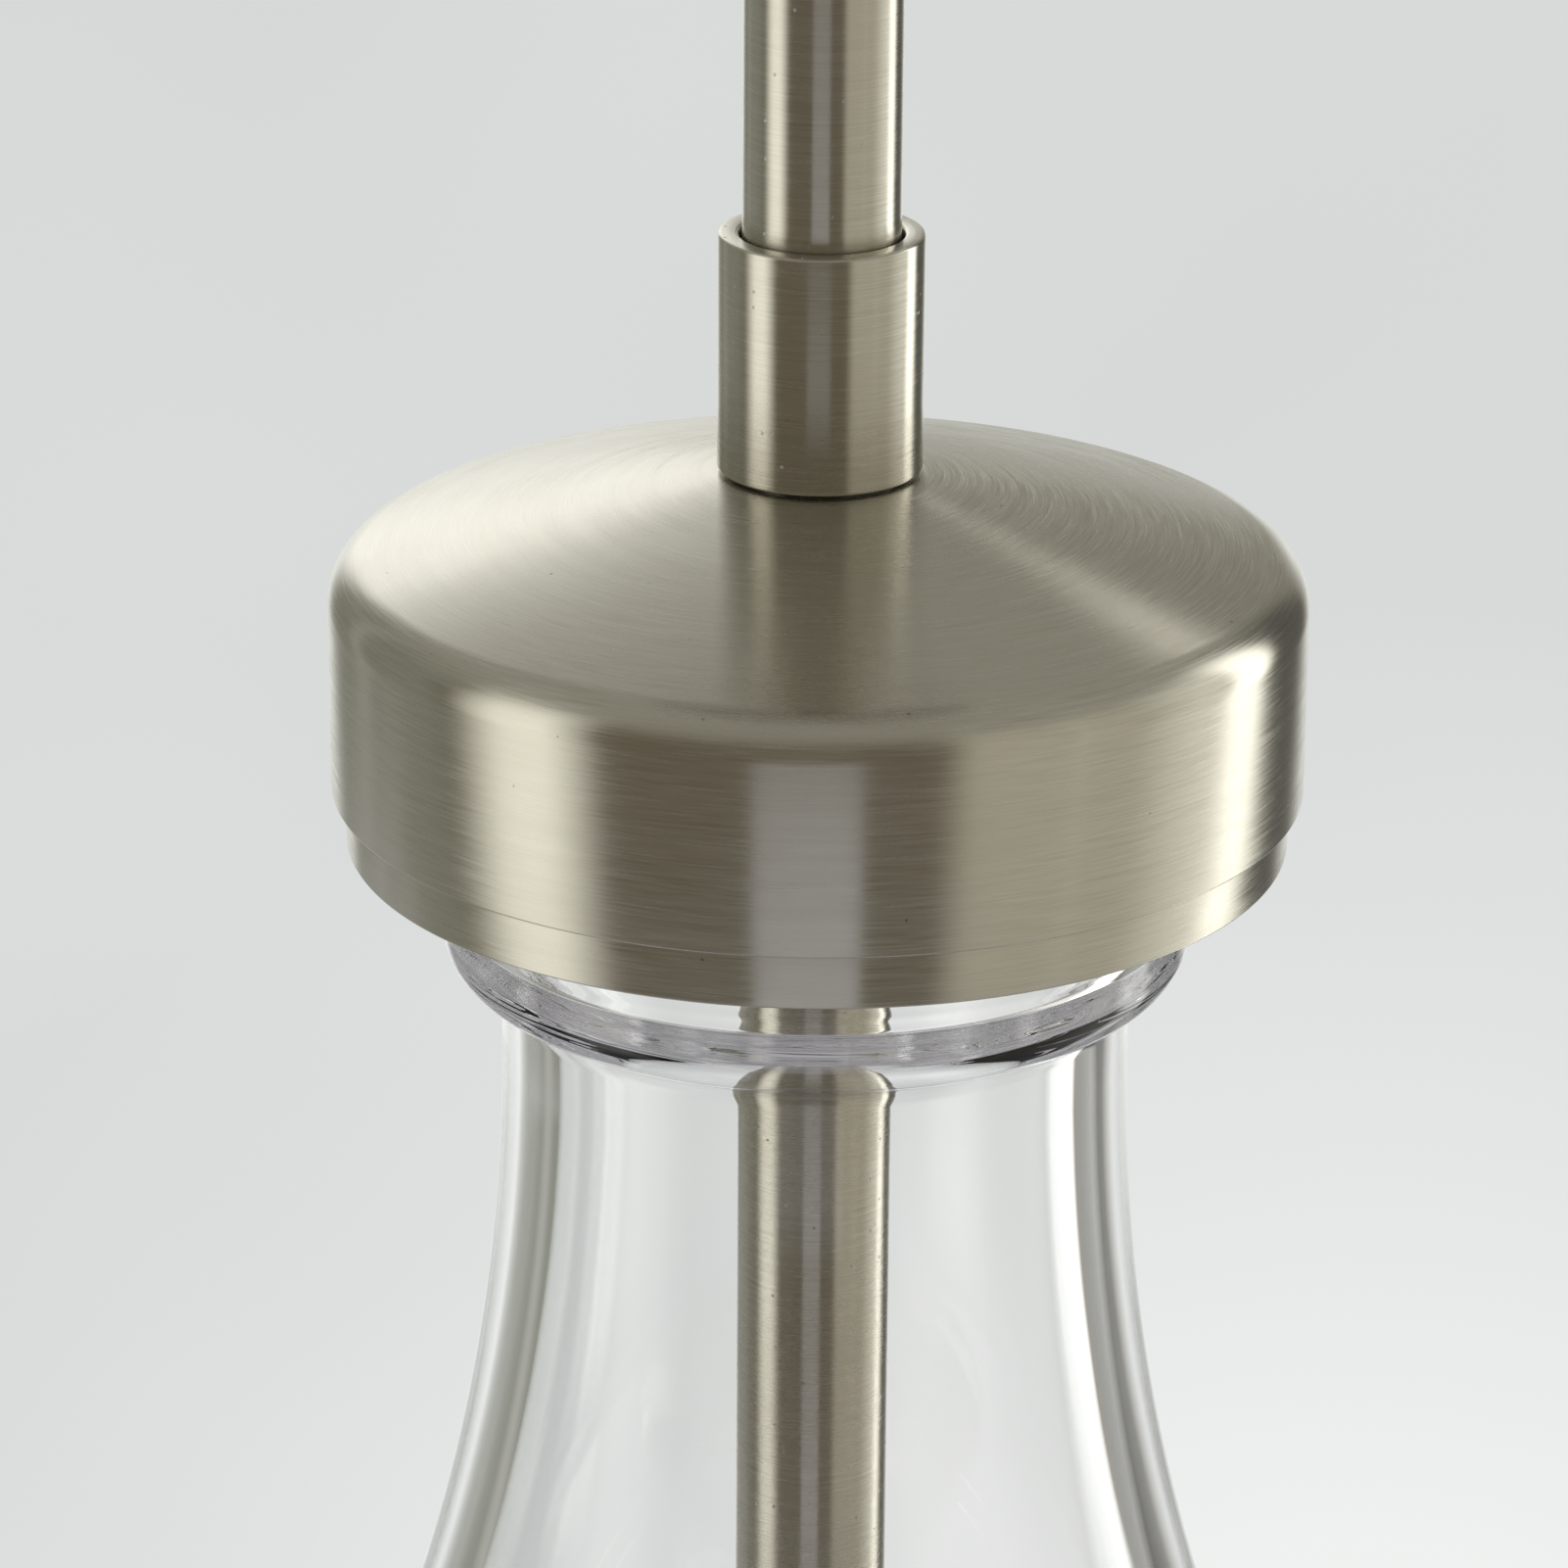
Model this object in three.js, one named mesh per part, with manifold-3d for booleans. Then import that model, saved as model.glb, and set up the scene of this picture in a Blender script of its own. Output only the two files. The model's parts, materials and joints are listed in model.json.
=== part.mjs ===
// Stem-hung pendant lamp with a clear glass bell shade and satin nickel fittings.
//
// Millimetres, +Z up. The origin is on the ceiling, at the middle of the mounting bracket's top
// face, and the whole lamp hangs below it on one vertical axis.
//
// Every solid is a separate piece. Pieces that touch, slide or screw together on the real lamp
// keep a small gap, and threads are plain cylinders.

import * as THREE from 'three';
import { mergeVertices } from 'three/addons/utils/BufferGeometryUtils.js';
import Module from 'manifold-3d';

const wasm = await Module();
wasm.setup();

// ---------------------------------------------------------------- driving dimensions

const FINE = 40;                    // segments round the shade, cap, holder and canopy
const MEDIUM = 28;                  // segments round rods and tubes
const COARSE = 20;                  // segments round small turned parts
const REST_GAP = 0.3;               // clearance between pieces that rest on or clamp each other

// Stem tubing and its threaded nipples
const TUBE_RADIUS = 6.35;           // half-inch tube
const TUBE_BORE = 5.2;
const NIPPLE_RADIUS = 4.9;          // lamp thread, just under 10 mm
const NIPPLE_BORE = 3.6;
const NUT_BORE = 5.2;
const UPPER_ROD_LENGTH = 152.4;     // six-inch rod
const LEAD_RADIUS = 0.9;
const LEAD_SPREAD = 1.5;

// Ceiling bracket and canopy
const BRACKET_REACH = 52;           // centre to arm end
const BRACKET_HALF_WIDTH = 9.5;
const BRACKET_THICKNESS = 2.5;
const BOX_SLOT_CENTRE = 40;
const BOX_SLOT_LENGTH = 14;
const BOX_SLOT_WIDTH = 4.8;
const STUD_SPACING = 88.9;          // three and a half inches between the canopy studs
const STUD_RADIUS = 2;
const STUD_HOLE = 2.4;
const CANOPY_RADIUS = 63.5;
const CANOPY_DEPTH = 22;
const CANOPY_FILLET = 6;
const CANOPY_WALL = 1;
const GROUND_SCREW_X = 20;

// Swivel: a housing in the canopy, a seat that turns in it, and a ball that tilts in the seat
const BALL_CENTRE_Z = -26.5;
const BALL_RADIUS = 8.3;
const BALL_SEAT_RADIUS = 8.6;
const BALL_BORE = 3.2;
const SWIVEL_PIN_RADIUS = 1.5;
const SWIVEL_PIN_REACH = 9.9;
const SEAT_RADIUS = 11;
const HOUSING_BORE = 11.3;
const SPIGOT_RADIUS = 12.7;
const SPIGOT_HOLE = 13;
const FLANGE_TOP_Z = -41.5;
const FLANGE_HEIGHT = 5;

// Cap, loose collar and glass holder. Heights are above the holder's lower rim.
const CAP_RADIUS = 39.66;
const CAP_RIM_Z = 4.68;
const CAP_CORNER_Z = 23.31;         // where the cone and the straight side would meet
const CAP_FILLET = 4;
const CAP_LAND_RADIUS = 8.6;
const CAP_LAND_Z = 30.95;
const CAP_HOLE = 6.9;
const COLLAR_RADIUS = 8.28;
const COLLAR_BORE = 6.6;
const COLLAR_TOP_Z = 50.75;
const COLLAR_CHAMFER = 0.35;
const HOLDER_RADIUS = 38.48;
const HOLDER_TOP_Z = 13.2;
const HOLDER_FILLET = 3;
const HOLDER_WALL = 1;
const ROD_END_Z = 16.8;
const STOP_RING_RADIUS = 8.8;
const STOP_RING_HEIGHT = 4;
const GRUB_SCREW_RADIUS = 1.1;
const GRUB_SCREW_LENGTH = 1.8;
const GRUB_HOLE_RADIUS = 1.4;
const NIPPLE_GRIP = 10;             // how far a nipple runs up into the tube above it
const UPPER_GASKET_RADIUS = 21;
const LOWER_GASKET_RADIUS = 15;
const WASHER_RADIUS = 16;

// Glass shade, heights from the holder's lower rim
const GLASS_WALL = 4.8;
const GLASS_TOP_Z = 9.9;
const GLASS_HOLE = 6;
const GLASS_HEAD_RADIUS = 30.65;
const GLASS_HEAD_FILLET = 4;
const GLASS_STEP_RADIUS = 3.5;      // round lower corner of the head, where it steps in to the neck
const GLASS_STEP_Z = -8.07;
const NECK_RADIUS = 25.9;
const NECK_FILLET = 2.4;            // from the head's underside into the neck
const NECK_END_Z = -18;
const FLARE_ARC = 178;              // concave sweep out of the neck
const FLARE_ANGLE = 42;
const BELL_ARC = 100;               // convex shoulder of the bell
const SKIRT_ARC = 640;              // slight outward sweep of the skirt
const SKIRT_HEIGHT = 46;

// Inner tube, lamp holder and bulb
const INNER_TUBE_END_Z = -86;
const CUP_RADIUS = 20.5;
const CUP_HEIGHT = 50;
const CUP_FILLET = 6.5;
const CUP_WALL = 1;
const INSULATOR_RADIUS = 18.9;
const INSULATOR_BORE = 14.6;
const SHELL_RADIUS = 14.3;
const SHELL_WALL = 0.5;
const BULB_TIP_Z = -101;
const BULB_BASE_RADIUS = 13.1;      // E26 screw base
const BULB_BASE_LENGTH = 26;
const BULB_NECK_RADIUS = 12.3;
const BULB_NECK_END = -30;
const BULB_GLOBE_RADIUS = 30;
const BULB_GLOBE_Z = -78;
const BULB_WALL = 0.8;
const FILAMENT_COUNT = 4;

const ROD_TOP_Z = FLANGE_TOP_Z - FLANGE_HEIGHT - REST_GAP;
const FITTER_Z = ROD_TOP_Z - UPPER_ROD_LENGTH - ROD_END_Z;   // the holder's lower rim

// ---------------------------------------------------------------- materials

function metal(colour, roughness) {
  return new THREE.MeshStandardMaterial({ color: colour, metalness: 1, roughness });
}

const satinNickel = metal(0xb8b0a8, 0.32);
const zincSteel = metal(0xa9adb0, 0.45);
const brass = metal(0xc9a45c, 0.3);
const aluminium = metal(0xc4c6c8, 0.35);
const rubber = new THREE.MeshStandardMaterial({ color: 0x1d1d1e, roughness: 0.85 });
const phenolic = new THREE.MeshStandardMaterial({ color: 0x1a1918, roughness: 0.4 });
const clearGlass = new THREE.MeshStandardMaterial({
  color: 0xe9e8ee, roughness: 0.03, transparent: true, opacity: 0.3,
});
const filamentGlow = new THREE.MeshStandardMaterial({ color: 0xe0b45a, roughness: 0.5 });
const groundGreen = new THREE.MeshStandardMaterial({ color: 0x2f7a45, roughness: 0.4 });
const liveJacket = new THREE.MeshStandardMaterial({ color: 0x202022, roughness: 0.5 });
const neutralJacket = new THREE.MeshStandardMaterial({ color: 0xe4e2da, roughness: 0.5 });

// ---------------------------------------------------------------- solids from three.js geometry

// Shared corners are merged and triangles that collapse on the axis are dropped.
function weld(geometry) {
  const bare = geometry.clone();
  bare.deleteAttribute('normal');
  bare.deleteAttribute('uv');
  const merged = mergeVertices(bare);
  const corners = merged.index.array;
  const kept = [];
  for (let i = 0; i < corners.length; i += 3) {
    const [a, b, c] = [corners[i], corners[i + 1], corners[i + 2]];
    if (a !== b && b !== c && c !== a) kept.push(a, b, c);
  }
  merged.setIndex(kept);
  merged.computeVertexNormals();
  return merged;
}

function toManifold(geometry) {
  const closed = weld(geometry);
  return new wasm.Manifold(new wasm.Mesh({
    numProp: 3,
    vertProperties: new Float32Array(closed.attributes.position.array),
    triVerts: new Uint32Array(closed.index.array),
  }));
}

function fromManifold(solid) {
  const { vertProperties, triVerts } = solid.getMesh();
  const geometry = new THREE.BufferGeometry();
  geometry.setAttribute('position', new THREE.BufferAttribute(vertProperties, 3));
  geometry.setIndex(new THREE.BufferAttribute(triVerts, 1));
  geometry.computeVertexNormals();
  return geometry;
}

function cut(geometry, ...tools) {
  return fromManifold(tools.reduce((solid, tool) => solid.subtract(toManifold(tool)), toManifold(geometry)));
}

function join(geometry, ...others) {
  return fromManifold(others.reduce((solid, other) => solid.add(toManifold(other)), toManifold(geometry)));
}

// ---------------------------------------------------------------- outlines in the (radius, height) plane

const point = (radius, height) => new THREE.Vector2(radius, height);

function arc(centreRadius, centreHeight, radius, fromDegrees, toDegrees, steps) {
  const points = [];
  for (let i = 0; i <= steps; i += 1) {
    const angle = THREE.MathUtils.degToRad(THREE.MathUtils.lerp(fromDegrees, toDegrees, i / steps));
    points.push(point(centreRadius + radius * Math.cos(angle), centreHeight + radius * Math.sin(angle)));
  }
  return points;
}

// The round corner of the given radius between the lines corner-before and corner-after.
function roundCorner(before, corner, after, radius, steps) {
  const toBefore = before.clone().sub(corner).normalize();
  const toAfter = after.clone().sub(corner).normalize();
  const halfAngle = Math.acos(THREE.MathUtils.clamp(toBefore.dot(toAfter), -1, 1)) / 2;
  const middle = toBefore.clone().add(toAfter).normalize();
  const centre = corner.clone().addScaledVector(middle, radius / Math.sin(halfAngle));
  const start = corner.clone().addScaledVector(toBefore, radius / Math.tan(halfAngle)).sub(centre);
  const end = corner.clone().addScaledVector(toAfter, radius / Math.tan(halfAngle)).sub(centre);
  const turn = Math.atan2(start.cross(end), start.dot(end));
  const points = [];
  for (let i = 0; i <= steps; i += 1) {
    points.push(start.clone().rotateAround(point(0, 0), turn * i / steps).add(centre));
  }
  return points;
}

// Corners are [radius, height] or [radius, height, fillet].
function outline(corners, steps = 4) {
  return corners.flatMap(([radius, height, fillet], i) => {
    const corner = point(radius, height);
    if (!fillet) return [corner];
    const before = point(corners[i - 1][0], corners[i - 1][1]);
    const after = point(corners[i + 1][0], corners[i + 1][1]);
    return roundCorner(before, corner, after, fillet, steps);
  });
}

// A sheet of even thickness: the outline, then the same outline moved to its right-hand side.
function sheet(outer, wall) {
  const rightOf = (from, to) => {
    const along = to.clone().sub(from).normalize();
    return point(along.y, -along.x);
  };
  const inner = outer.map((corner, i) => {
    const arriving = i > 0 ? rightOf(outer[i - 1], corner) : rightOf(corner, outer[i + 1]);
    const leaving = i < outer.length - 1 ? rightOf(corner, outer[i + 1]) : arriving;
    const mitre = arriving.clone().add(leaving).normalize();
    return corner.clone().addScaledVector(mitre, wall / mitre.dot(arriving));
  });
  return [...outer, ...inner.reverse()];
}

// Turns an outline about the lamp's axis. An outline that doesn't end on the axis is closed.
function turned(profile, segments) {
  const first = profile[0];
  const last = profile[profile.length - 1];
  const loop = first.x === 0 && last.x === 0 ? [...profile] : [...profile, first.clone()];
  if (THREE.ShapeUtils.area(profile) < 0) loop.reverse();
  const geometry = new THREE.LatheGeometry(loop, segments);
  geometry.rotateX(Math.PI / 2);
  return weld(geometry);
}

// A plain tube or ring between two heights.
function ring(outerRadius, innerRadius, topZ, bottomZ, segments = COARSE) {
  const section = [
    point(innerRadius, bottomZ), point(outerRadius, bottomZ),
    point(outerRadius, topZ), point(innerRadius, topZ),
  ];
  return turned(section, segments);
}

function rod(radius, topZ, bottomZ, segments = COARSE) {
  const geometry = new THREE.CylinderGeometry(radius, radius, topZ - bottomZ, segments);
  geometry.rotateX(Math.PI / 2);
  geometry.translate(0, 0, (topZ + bottomZ) / 2);
  return geometry;
}

function hexNut(acrossFlats, bore, topZ, bottomZ) {
  const hexagon = new THREE.Shape();
  const cornerRadius = acrossFlats / Math.sqrt(3);
  for (let i = 0; i < 6; i += 1) {
    const angle = Math.PI * i / 3;
    const [x, y] = [cornerRadius * Math.cos(angle), cornerRadius * Math.sin(angle)];
    if (i === 0) hexagon.moveTo(x, y);
    else hexagon.lineTo(x, y);
  }
  hexagon.closePath();
  hexagon.holes.push(new THREE.Path().absarc(0, 0, bore, 0, 2 * Math.PI, true));
  return slab(hexagon, topZ, bottomZ, 12);
}

function slab(shape, topZ, bottomZ, curveSegments) {
  const geometry = new THREE.ExtrudeGeometry(shape, {
    depth: topZ - bottomZ, bevelEnabled: false, curveSegments,
  });
  geometry.translate(0, 0, bottomZ);
  return geometry;
}

// ---------------------------------------------------------------- ceiling bracket and canopy

function bracketPlate() {
  const [reach, half] = [BRACKET_REACH, BRACKET_HALF_WIDTH];
  const cross = new THREE.Shape([
    point(reach, -half), point(reach, half), point(half, half), point(half, reach),
    point(-half, reach), point(-half, half), point(-reach, half), point(-reach, -half),
    point(-half, -half), point(-half, -reach), point(half, -reach), point(half, -half),
  ]);
  const slotEnd = BOX_SLOT_WIDTH / 2;
  const slotRun = BOX_SLOT_LENGTH / 2 - slotEnd;
  for (const side of [-1, 1]) {
    const slot = new THREE.Path();
    slot.absarc(side * BOX_SLOT_CENTRE + slotRun, 0, slotEnd, -Math.PI / 2, Math.PI / 2, false);
    slot.absarc(side * BOX_SLOT_CENTRE - slotRun, 0, slotEnd, Math.PI / 2, 3 * Math.PI / 2, false);
    slot.closePath();
    cross.holes.push(slot);
    cross.holes.push(new THREE.Path().absarc(0, side * STUD_SPACING / 2, STUD_HOLE, 0, 2 * Math.PI, true));
  }
  cross.holes.push(new THREE.Path().absarc(GROUND_SCREW_X, 0, STUD_HOLE, 0, 2 * Math.PI, true));
  return slab(cross, 0, -BRACKET_THICKNESS, 6);
}

function groundScrew() {
  const [headRadius, headHeight, shankRadius] = [4.2, 2.4, 2];
  const headTop = -BRACKET_THICKNESS - REST_GAP;
  return turned([
    point(0, -REST_GAP), point(shankRadius, -REST_GAP), point(shankRadius, headTop),
    point(headRadius, headTop), point(headRadius, headTop - headHeight / 2),
    point(headRadius * 0.7, headTop - headHeight), point(0, headTop - headHeight),
  ], COARSE);
}

function canopyDish() {
  const bottom = -CANOPY_DEPTH;
  const dish = turned(sheet(outline([
    [CANOPY_RADIUS, 0], [CANOPY_RADIUS, bottom, CANOPY_FILLET], [SPIGOT_HOLE, bottom],
  ], 5), CANOPY_WALL), FINE);
  const holes = [-1, 1].map((side) => {
    const hole = rod(STUD_HOLE, bottom + 2 * CANOPY_WALL, bottom - CANOPY_WALL);
    return hole.translate(0, side * STUD_SPACING / 2, 0);
  });
  return cut(dish, ...holes);
}

const CANOPY_NUT_TOP_Z = -CANOPY_DEPTH - REST_GAP;
const CANOPY_NUT_HEIGHT = 9;
const STUD_END_Z = CANOPY_NUT_TOP_Z - 6.5;

// Blind round nut with a flange and a domed end.
function canopyNut() {
  const [flange, body, flangeHeight] = [6.5, 5, 1.8];
  const top = CANOPY_NUT_TOP_Z;
  return turned([
    point(STUD_HOLE, top), point(flange, top), point(flange, top - flangeHeight),
    point(body, top - flangeHeight - 0.6), point(body, top - CANOPY_NUT_HEIGHT + 2),
    point(body * 0.75, top - CANOPY_NUT_HEIGHT + 0.5), point(0, top - CANOPY_NUT_HEIGHT),
    point(0, STUD_END_Z - REST_GAP), point(STUD_HOLE, STUD_END_Z - REST_GAP),
  ], COARSE);
}

// ---------------------------------------------------------------- swivel

const HOUSING_RADIUS = 14.5;
const HOUSING_LIP = 10.2;
const HOUSING_END_Z = -37;
const HOUSING_LEDGE_Z = -35;
const SPIGOT_TOP_Z = -14;

function swivelHousing() {
  const [flangeRadius, flangeEnd] = [17, -25.5];
  const top = -CANOPY_DEPTH - REST_GAP;
  return turned([
    point(HOUSING_BORE, SPIGOT_TOP_Z), point(SPIGOT_RADIUS, SPIGOT_TOP_Z), point(SPIGOT_RADIUS, top),
    point(flangeRadius, top), point(flangeRadius, flangeEnd + 0.8), point(flangeRadius - 0.8, flangeEnd),
    ...outline([
      [HOUSING_RADIUS, flangeEnd], [HOUSING_RADIUS, HOUSING_END_Z, 3], [HOUSING_LIP, HOUSING_END_Z],
    ]),
    point(HOUSING_LIP, HOUSING_LEDGE_Z), point(HOUSING_BORE, HOUSING_LEDGE_Z),
  ], MEDIUM);
}

// The seat has a ball socket, a flared mouth below, and a slot on each side for the ball's pins.
function swivelSeat() {
  const [seatTop, seatBottom] = [-18, HOUSING_LEDGE_Z + REST_GAP];
  const [throat, mouth] = [7, 9.4];
  const lowest = -THREE.MathUtils.radToDeg(Math.acos(throat / BALL_SEAT_RADIUS));
  const body = turned([
    point(mouth, seatBottom), point(SEAT_RADIUS, seatBottom), point(SEAT_RADIUS, seatTop),
    point(BALL_SEAT_RADIUS, seatTop), ...arc(0, BALL_CENTRE_Z, BALL_SEAT_RADIUS, 0, lowest, 6),
  ], MEDIUM);
  const slotBottom = BALL_CENTRE_Z - SWIVEL_PIN_RADIUS - REST_GAP;
  const slotReach = SWIVEL_PIN_REACH + REST_GAP;
  const slotHeight = seatTop - slotBottom + 1;
  const slot = new THREE.BoxGeometry(2 * slotReach, 2 * (SWIVEL_PIN_RADIUS + REST_GAP), slotHeight);
  slot.translate(0, 0, slotBottom + slotHeight / 2);
  return cut(body, slot);
}

// Hollow ball on a neck, a round shoulder, and the thread that the upper rod screws onto.
function swivelBall() {
  const neck = 4.4;
  const shoulder = 7.5;
  const shoulderEnd = FLANGE_TOP_Z - FLANGE_HEIGHT;
  const spigotEnd = shoulderEnd - 10;
  const highest = THREE.MathUtils.radToDeg(Math.acos(BALL_BORE / BALL_RADIUS));
  const lowest = THREE.MathUtils.radToDeg(Math.acos(neck / BALL_RADIUS));
  const body = turned([
    ...arc(0, BALL_CENTRE_Z, BALL_RADIUS, highest, -lowest, 9),
    point(neck, FLANGE_TOP_Z), point(shoulder - 1, FLANGE_TOP_Z), point(shoulder, FLANGE_TOP_Z - 1),
    point(shoulder, shoulderEnd), point(NIPPLE_RADIUS, shoulderEnd),
    point(NIPPLE_RADIUS, spigotEnd), point(BALL_BORE, spigotEnd),
  ], MEDIUM);
  const pins = [-1, 1].map((side) => {
    const length = SWIVEL_PIN_REACH - BALL_BORE - 1;
    const pin = new THREE.CylinderGeometry(SWIVEL_PIN_RADIUS, SWIVEL_PIN_RADIUS, length, COARSE / 2);
    pin.rotateZ(Math.PI / 2);
    return pin.translate(side * (SWIVEL_PIN_REACH - length / 2), 0, BALL_CENTRE_Z);
  });
  return join(body, ...pins);
}

// ---------------------------------------------------------------- cap, collar and holder

const CAP_WALL = CAP_RADIUS - HOLDER_RADIUS - REST_GAP;

// Shallow cone with a rounded shoulder and a straight side, and a flat land round the hole.
function capShell() {
  return turned(sheet(outline([
    [CAP_HOLE, CAP_LAND_Z], [CAP_LAND_RADIUS, CAP_LAND_Z],
    [CAP_RADIUS, CAP_CORNER_Z, CAP_FILLET], [CAP_RADIUS, CAP_RIM_Z],
  ], 5), CAP_WALL), FINE);
}

function collarSleeve() {
  const [bottom, edge] = [CAP_LAND_Z + REST_GAP, COLLAR_CHAMFER];
  return turned([
    point(COLLAR_BORE, bottom), point(COLLAR_RADIUS - edge, bottom), point(COLLAR_RADIUS, bottom + edge),
    point(COLLAR_RADIUS, COLLAR_TOP_Z - edge), point(COLLAR_RADIUS - edge, COLLAR_TOP_Z),
    point(COLLAR_BORE + edge, COLLAR_TOP_Z), point(COLLAR_BORE, COLLAR_TOP_Z - edge),
  ], MEDIUM);
}

function holderDish() {
  return turned(sheet(outline([
    [NUT_BORE, HOLDER_TOP_Z], [HOLDER_RADIUS, HOLDER_TOP_Z, HOLDER_FILLET], [HOLDER_RADIUS, 0],
  ]), HOLDER_WALL), FINE);
}

// ---------------------------------------------------------------- glass shade

// Hollow round head that steps in to a straight neck, then three arcs that run into each other: the
// concave flare, the convex bell and the slightly swept skirt with its round rim.
function glassBell() {
  const flareR = NECK_RADIUS + FLARE_ARC;
  const turn = THREE.MathUtils.degToRad(FLARE_ANGLE);
  const bellR = flareR - (FLARE_ARC + BELL_ARC) * Math.cos(turn);
  const bellZ = NECK_END_Z - (FLARE_ARC + BELL_ARC) * Math.sin(turn);
  const skirtR = bellR + BELL_ARC + SKIRT_ARC;
  const skirtAngle = THREE.MathUtils.radToDeg(Math.asin(SKIRT_HEIGHT / SKIRT_ARC));
  const bellSkin = (inset) => [
    ...arc(flareR, NECK_END_Z, FLARE_ARC + inset, 180, 180 + FLARE_ANGLE, 7),
    ...arc(bellR, bellZ, BELL_ARC - inset, FLARE_ANGLE, 0, 5).slice(1),
    ...arc(skirtR, bellZ, SKIRT_ARC + inset, 180, 180 + skirtAngle, 2).slice(1),
  ];

  const stepR = GLASS_HEAD_RADIUS - GLASS_STEP_RADIUS;
  const filletR = NECK_RADIUS + NECK_FILLET;
  const drop = Math.sqrt((GLASS_STEP_RADIUS + NECK_FILLET) ** 2 - (filletR - stepR) ** 2);
  const filletZ = GLASS_STEP_Z - drop;
  const tangent = THREE.MathUtils.radToDeg(Math.atan2(-drop, filletR - stepR));
  const head = [
    ...outline([[GLASS_HOLE, GLASS_TOP_Z], [GLASS_HEAD_RADIUS, GLASS_TOP_Z, GLASS_HEAD_FILLET],
      [GLASS_HEAD_RADIUS, GLASS_STEP_Z]]),
    ...arc(stepR, GLASS_STEP_Z, GLASS_STEP_RADIUS, 0, tangent, 5).slice(1),
    ...arc(filletR, filletZ, NECK_FILLET, 180 + tangent, 180, 3).slice(1),
  ];

  // The hollow follows the step at the wall's thickness, with a round edge into the neck.
  const underHead = GLASS_TOP_Z - GLASS_WALL;
  const inner = GLASS_HEAD_RADIUS - GLASS_WALL;
  const bend = NECK_FILLET + GLASS_WALL;
  const bendStart = 90 + THREE.MathUtils.radToDeg(Math.asin((filletR - inner + 1) / bend));
  const shoulder = arc(filletR, filletZ, bend, bendStart, 180, 6);
  const cornerZ = filletZ + Math.sqrt(bend ** 2 - (filletR - inner) ** 2) + 0.15;
  const hollow = [
    ...outline([[GLASS_HOLE, underHead], [inner, underHead, 1.5], [inner, cornerZ, 1],
      [shoulder[0].x, shoulder[0].y]], 3),
    ...shoulder.slice(1),
    ...bellSkin(GLASS_WALL),
  ];

  const rimAngle = THREE.MathUtils.degToRad(180 + skirtAngle);
  const rimReach = SKIRT_ARC + GLASS_WALL / 2;
  const rimR = skirtR + rimReach * Math.cos(rimAngle);
  const rimZ = bellZ + rimReach * Math.sin(rimAngle);
  const rim = arc(rimR, rimZ, GLASS_WALL / 2, skirtAngle, skirtAngle - 180, 4).slice(1, -1);
  return turned([...head, ...bellSkin(0), ...rim, ...hollow.reverse()], FINE);
}

// ---------------------------------------------------------------- lamp holder, from the cup's top

function socketCup() {
  return turned(sheet(outline([
    [NUT_BORE, 0], [CUP_RADIUS, 0, CUP_FILLET], [CUP_RADIUS, -CUP_HEIGHT],
  ]), CUP_WALL), MEDIUM);
}

const INSULATOR_TOP = -5.2;
const INSULATOR_PLATE = 6;
const INSULATOR_END = -CUP_HEIGHT + 2;

function socketInsulator() {
  const plateEnd = INSULATOR_TOP - INSULATOR_PLATE;
  const chamfer = 3.5;
  return turned([
    point(NUT_BORE, INSULATOR_TOP), point(INSULATOR_RADIUS - chamfer, INSULATOR_TOP),
    point(INSULATOR_RADIUS, INSULATOR_TOP - chamfer), point(INSULATOR_RADIUS, INSULATOR_END),
    point(INSULATOR_BORE, INSULATOR_END), point(INSULATOR_BORE, plateEnd), point(NUT_BORE, plateEnd),
  ], MEDIUM);
}

function screwShell() {
  const top = INSULATOR_TOP - INSULATOR_PLATE - REST_GAP;
  const lipRadius = 11;
  return turned([
    point(lipRadius, top), point(SHELL_RADIUS, top), point(SHELL_RADIUS, INSULATOR_END + 5),
    point(SHELL_RADIUS - SHELL_WALL, INSULATOR_END + 5), point(SHELL_RADIUS - SHELL_WALL, top - SHELL_WALL),
    point(lipRadius, top - SHELL_WALL),
  ], MEDIUM);
}

// Bent strip that springs down onto the bulb's tip.
function contactSpring() {
  const [width, strip] = [5, 0.5];
  const top = INSULATOR_TOP - INSULATOR_PLATE - REST_GAP;
  const tip = top - 2.4;
  const side = new THREE.Shape([
    point(-8.5, top), point(-8.5, top - strip), point(-6, top - strip), point(-2.5, tip - strip),
    point(3, tip - strip), point(4.5, top - strip), point(4.5 - strip, top - strip),
    point(3 - strip, tip), point(-2.5 + strip, tip), point(-6 + strip, top),
  ]);
  const geometry = new THREE.ExtrudeGeometry(side, { depth: width, bevelEnabled: false });
  geometry.translate(0, 0, -width / 2);
  geometry.rotateX(Math.PI / 2);
  return geometry;
}

// ---------------------------------------------------------------- bulb, from the tip of its contact

const BULB_SHELL_TOP = -3.5;

function bulbBase() {
  const wall = 0.5;
  return turned(sheet(outline([
    [9, BULB_SHELL_TOP], [BULB_BASE_RADIUS, BULB_SHELL_TOP - 2.5], [BULB_BASE_RADIUS, -BULB_BASE_LENGTH],
  ]), wall), MEDIUM);
}

function bulbContact() {
  return turned([
    point(0, 0), point(3.5, -0.4), point(4.2, -1.2), point(8.6, -3.4), point(8.6, -4.2), point(0, -4.2),
  ], COARSE);
}

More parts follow.
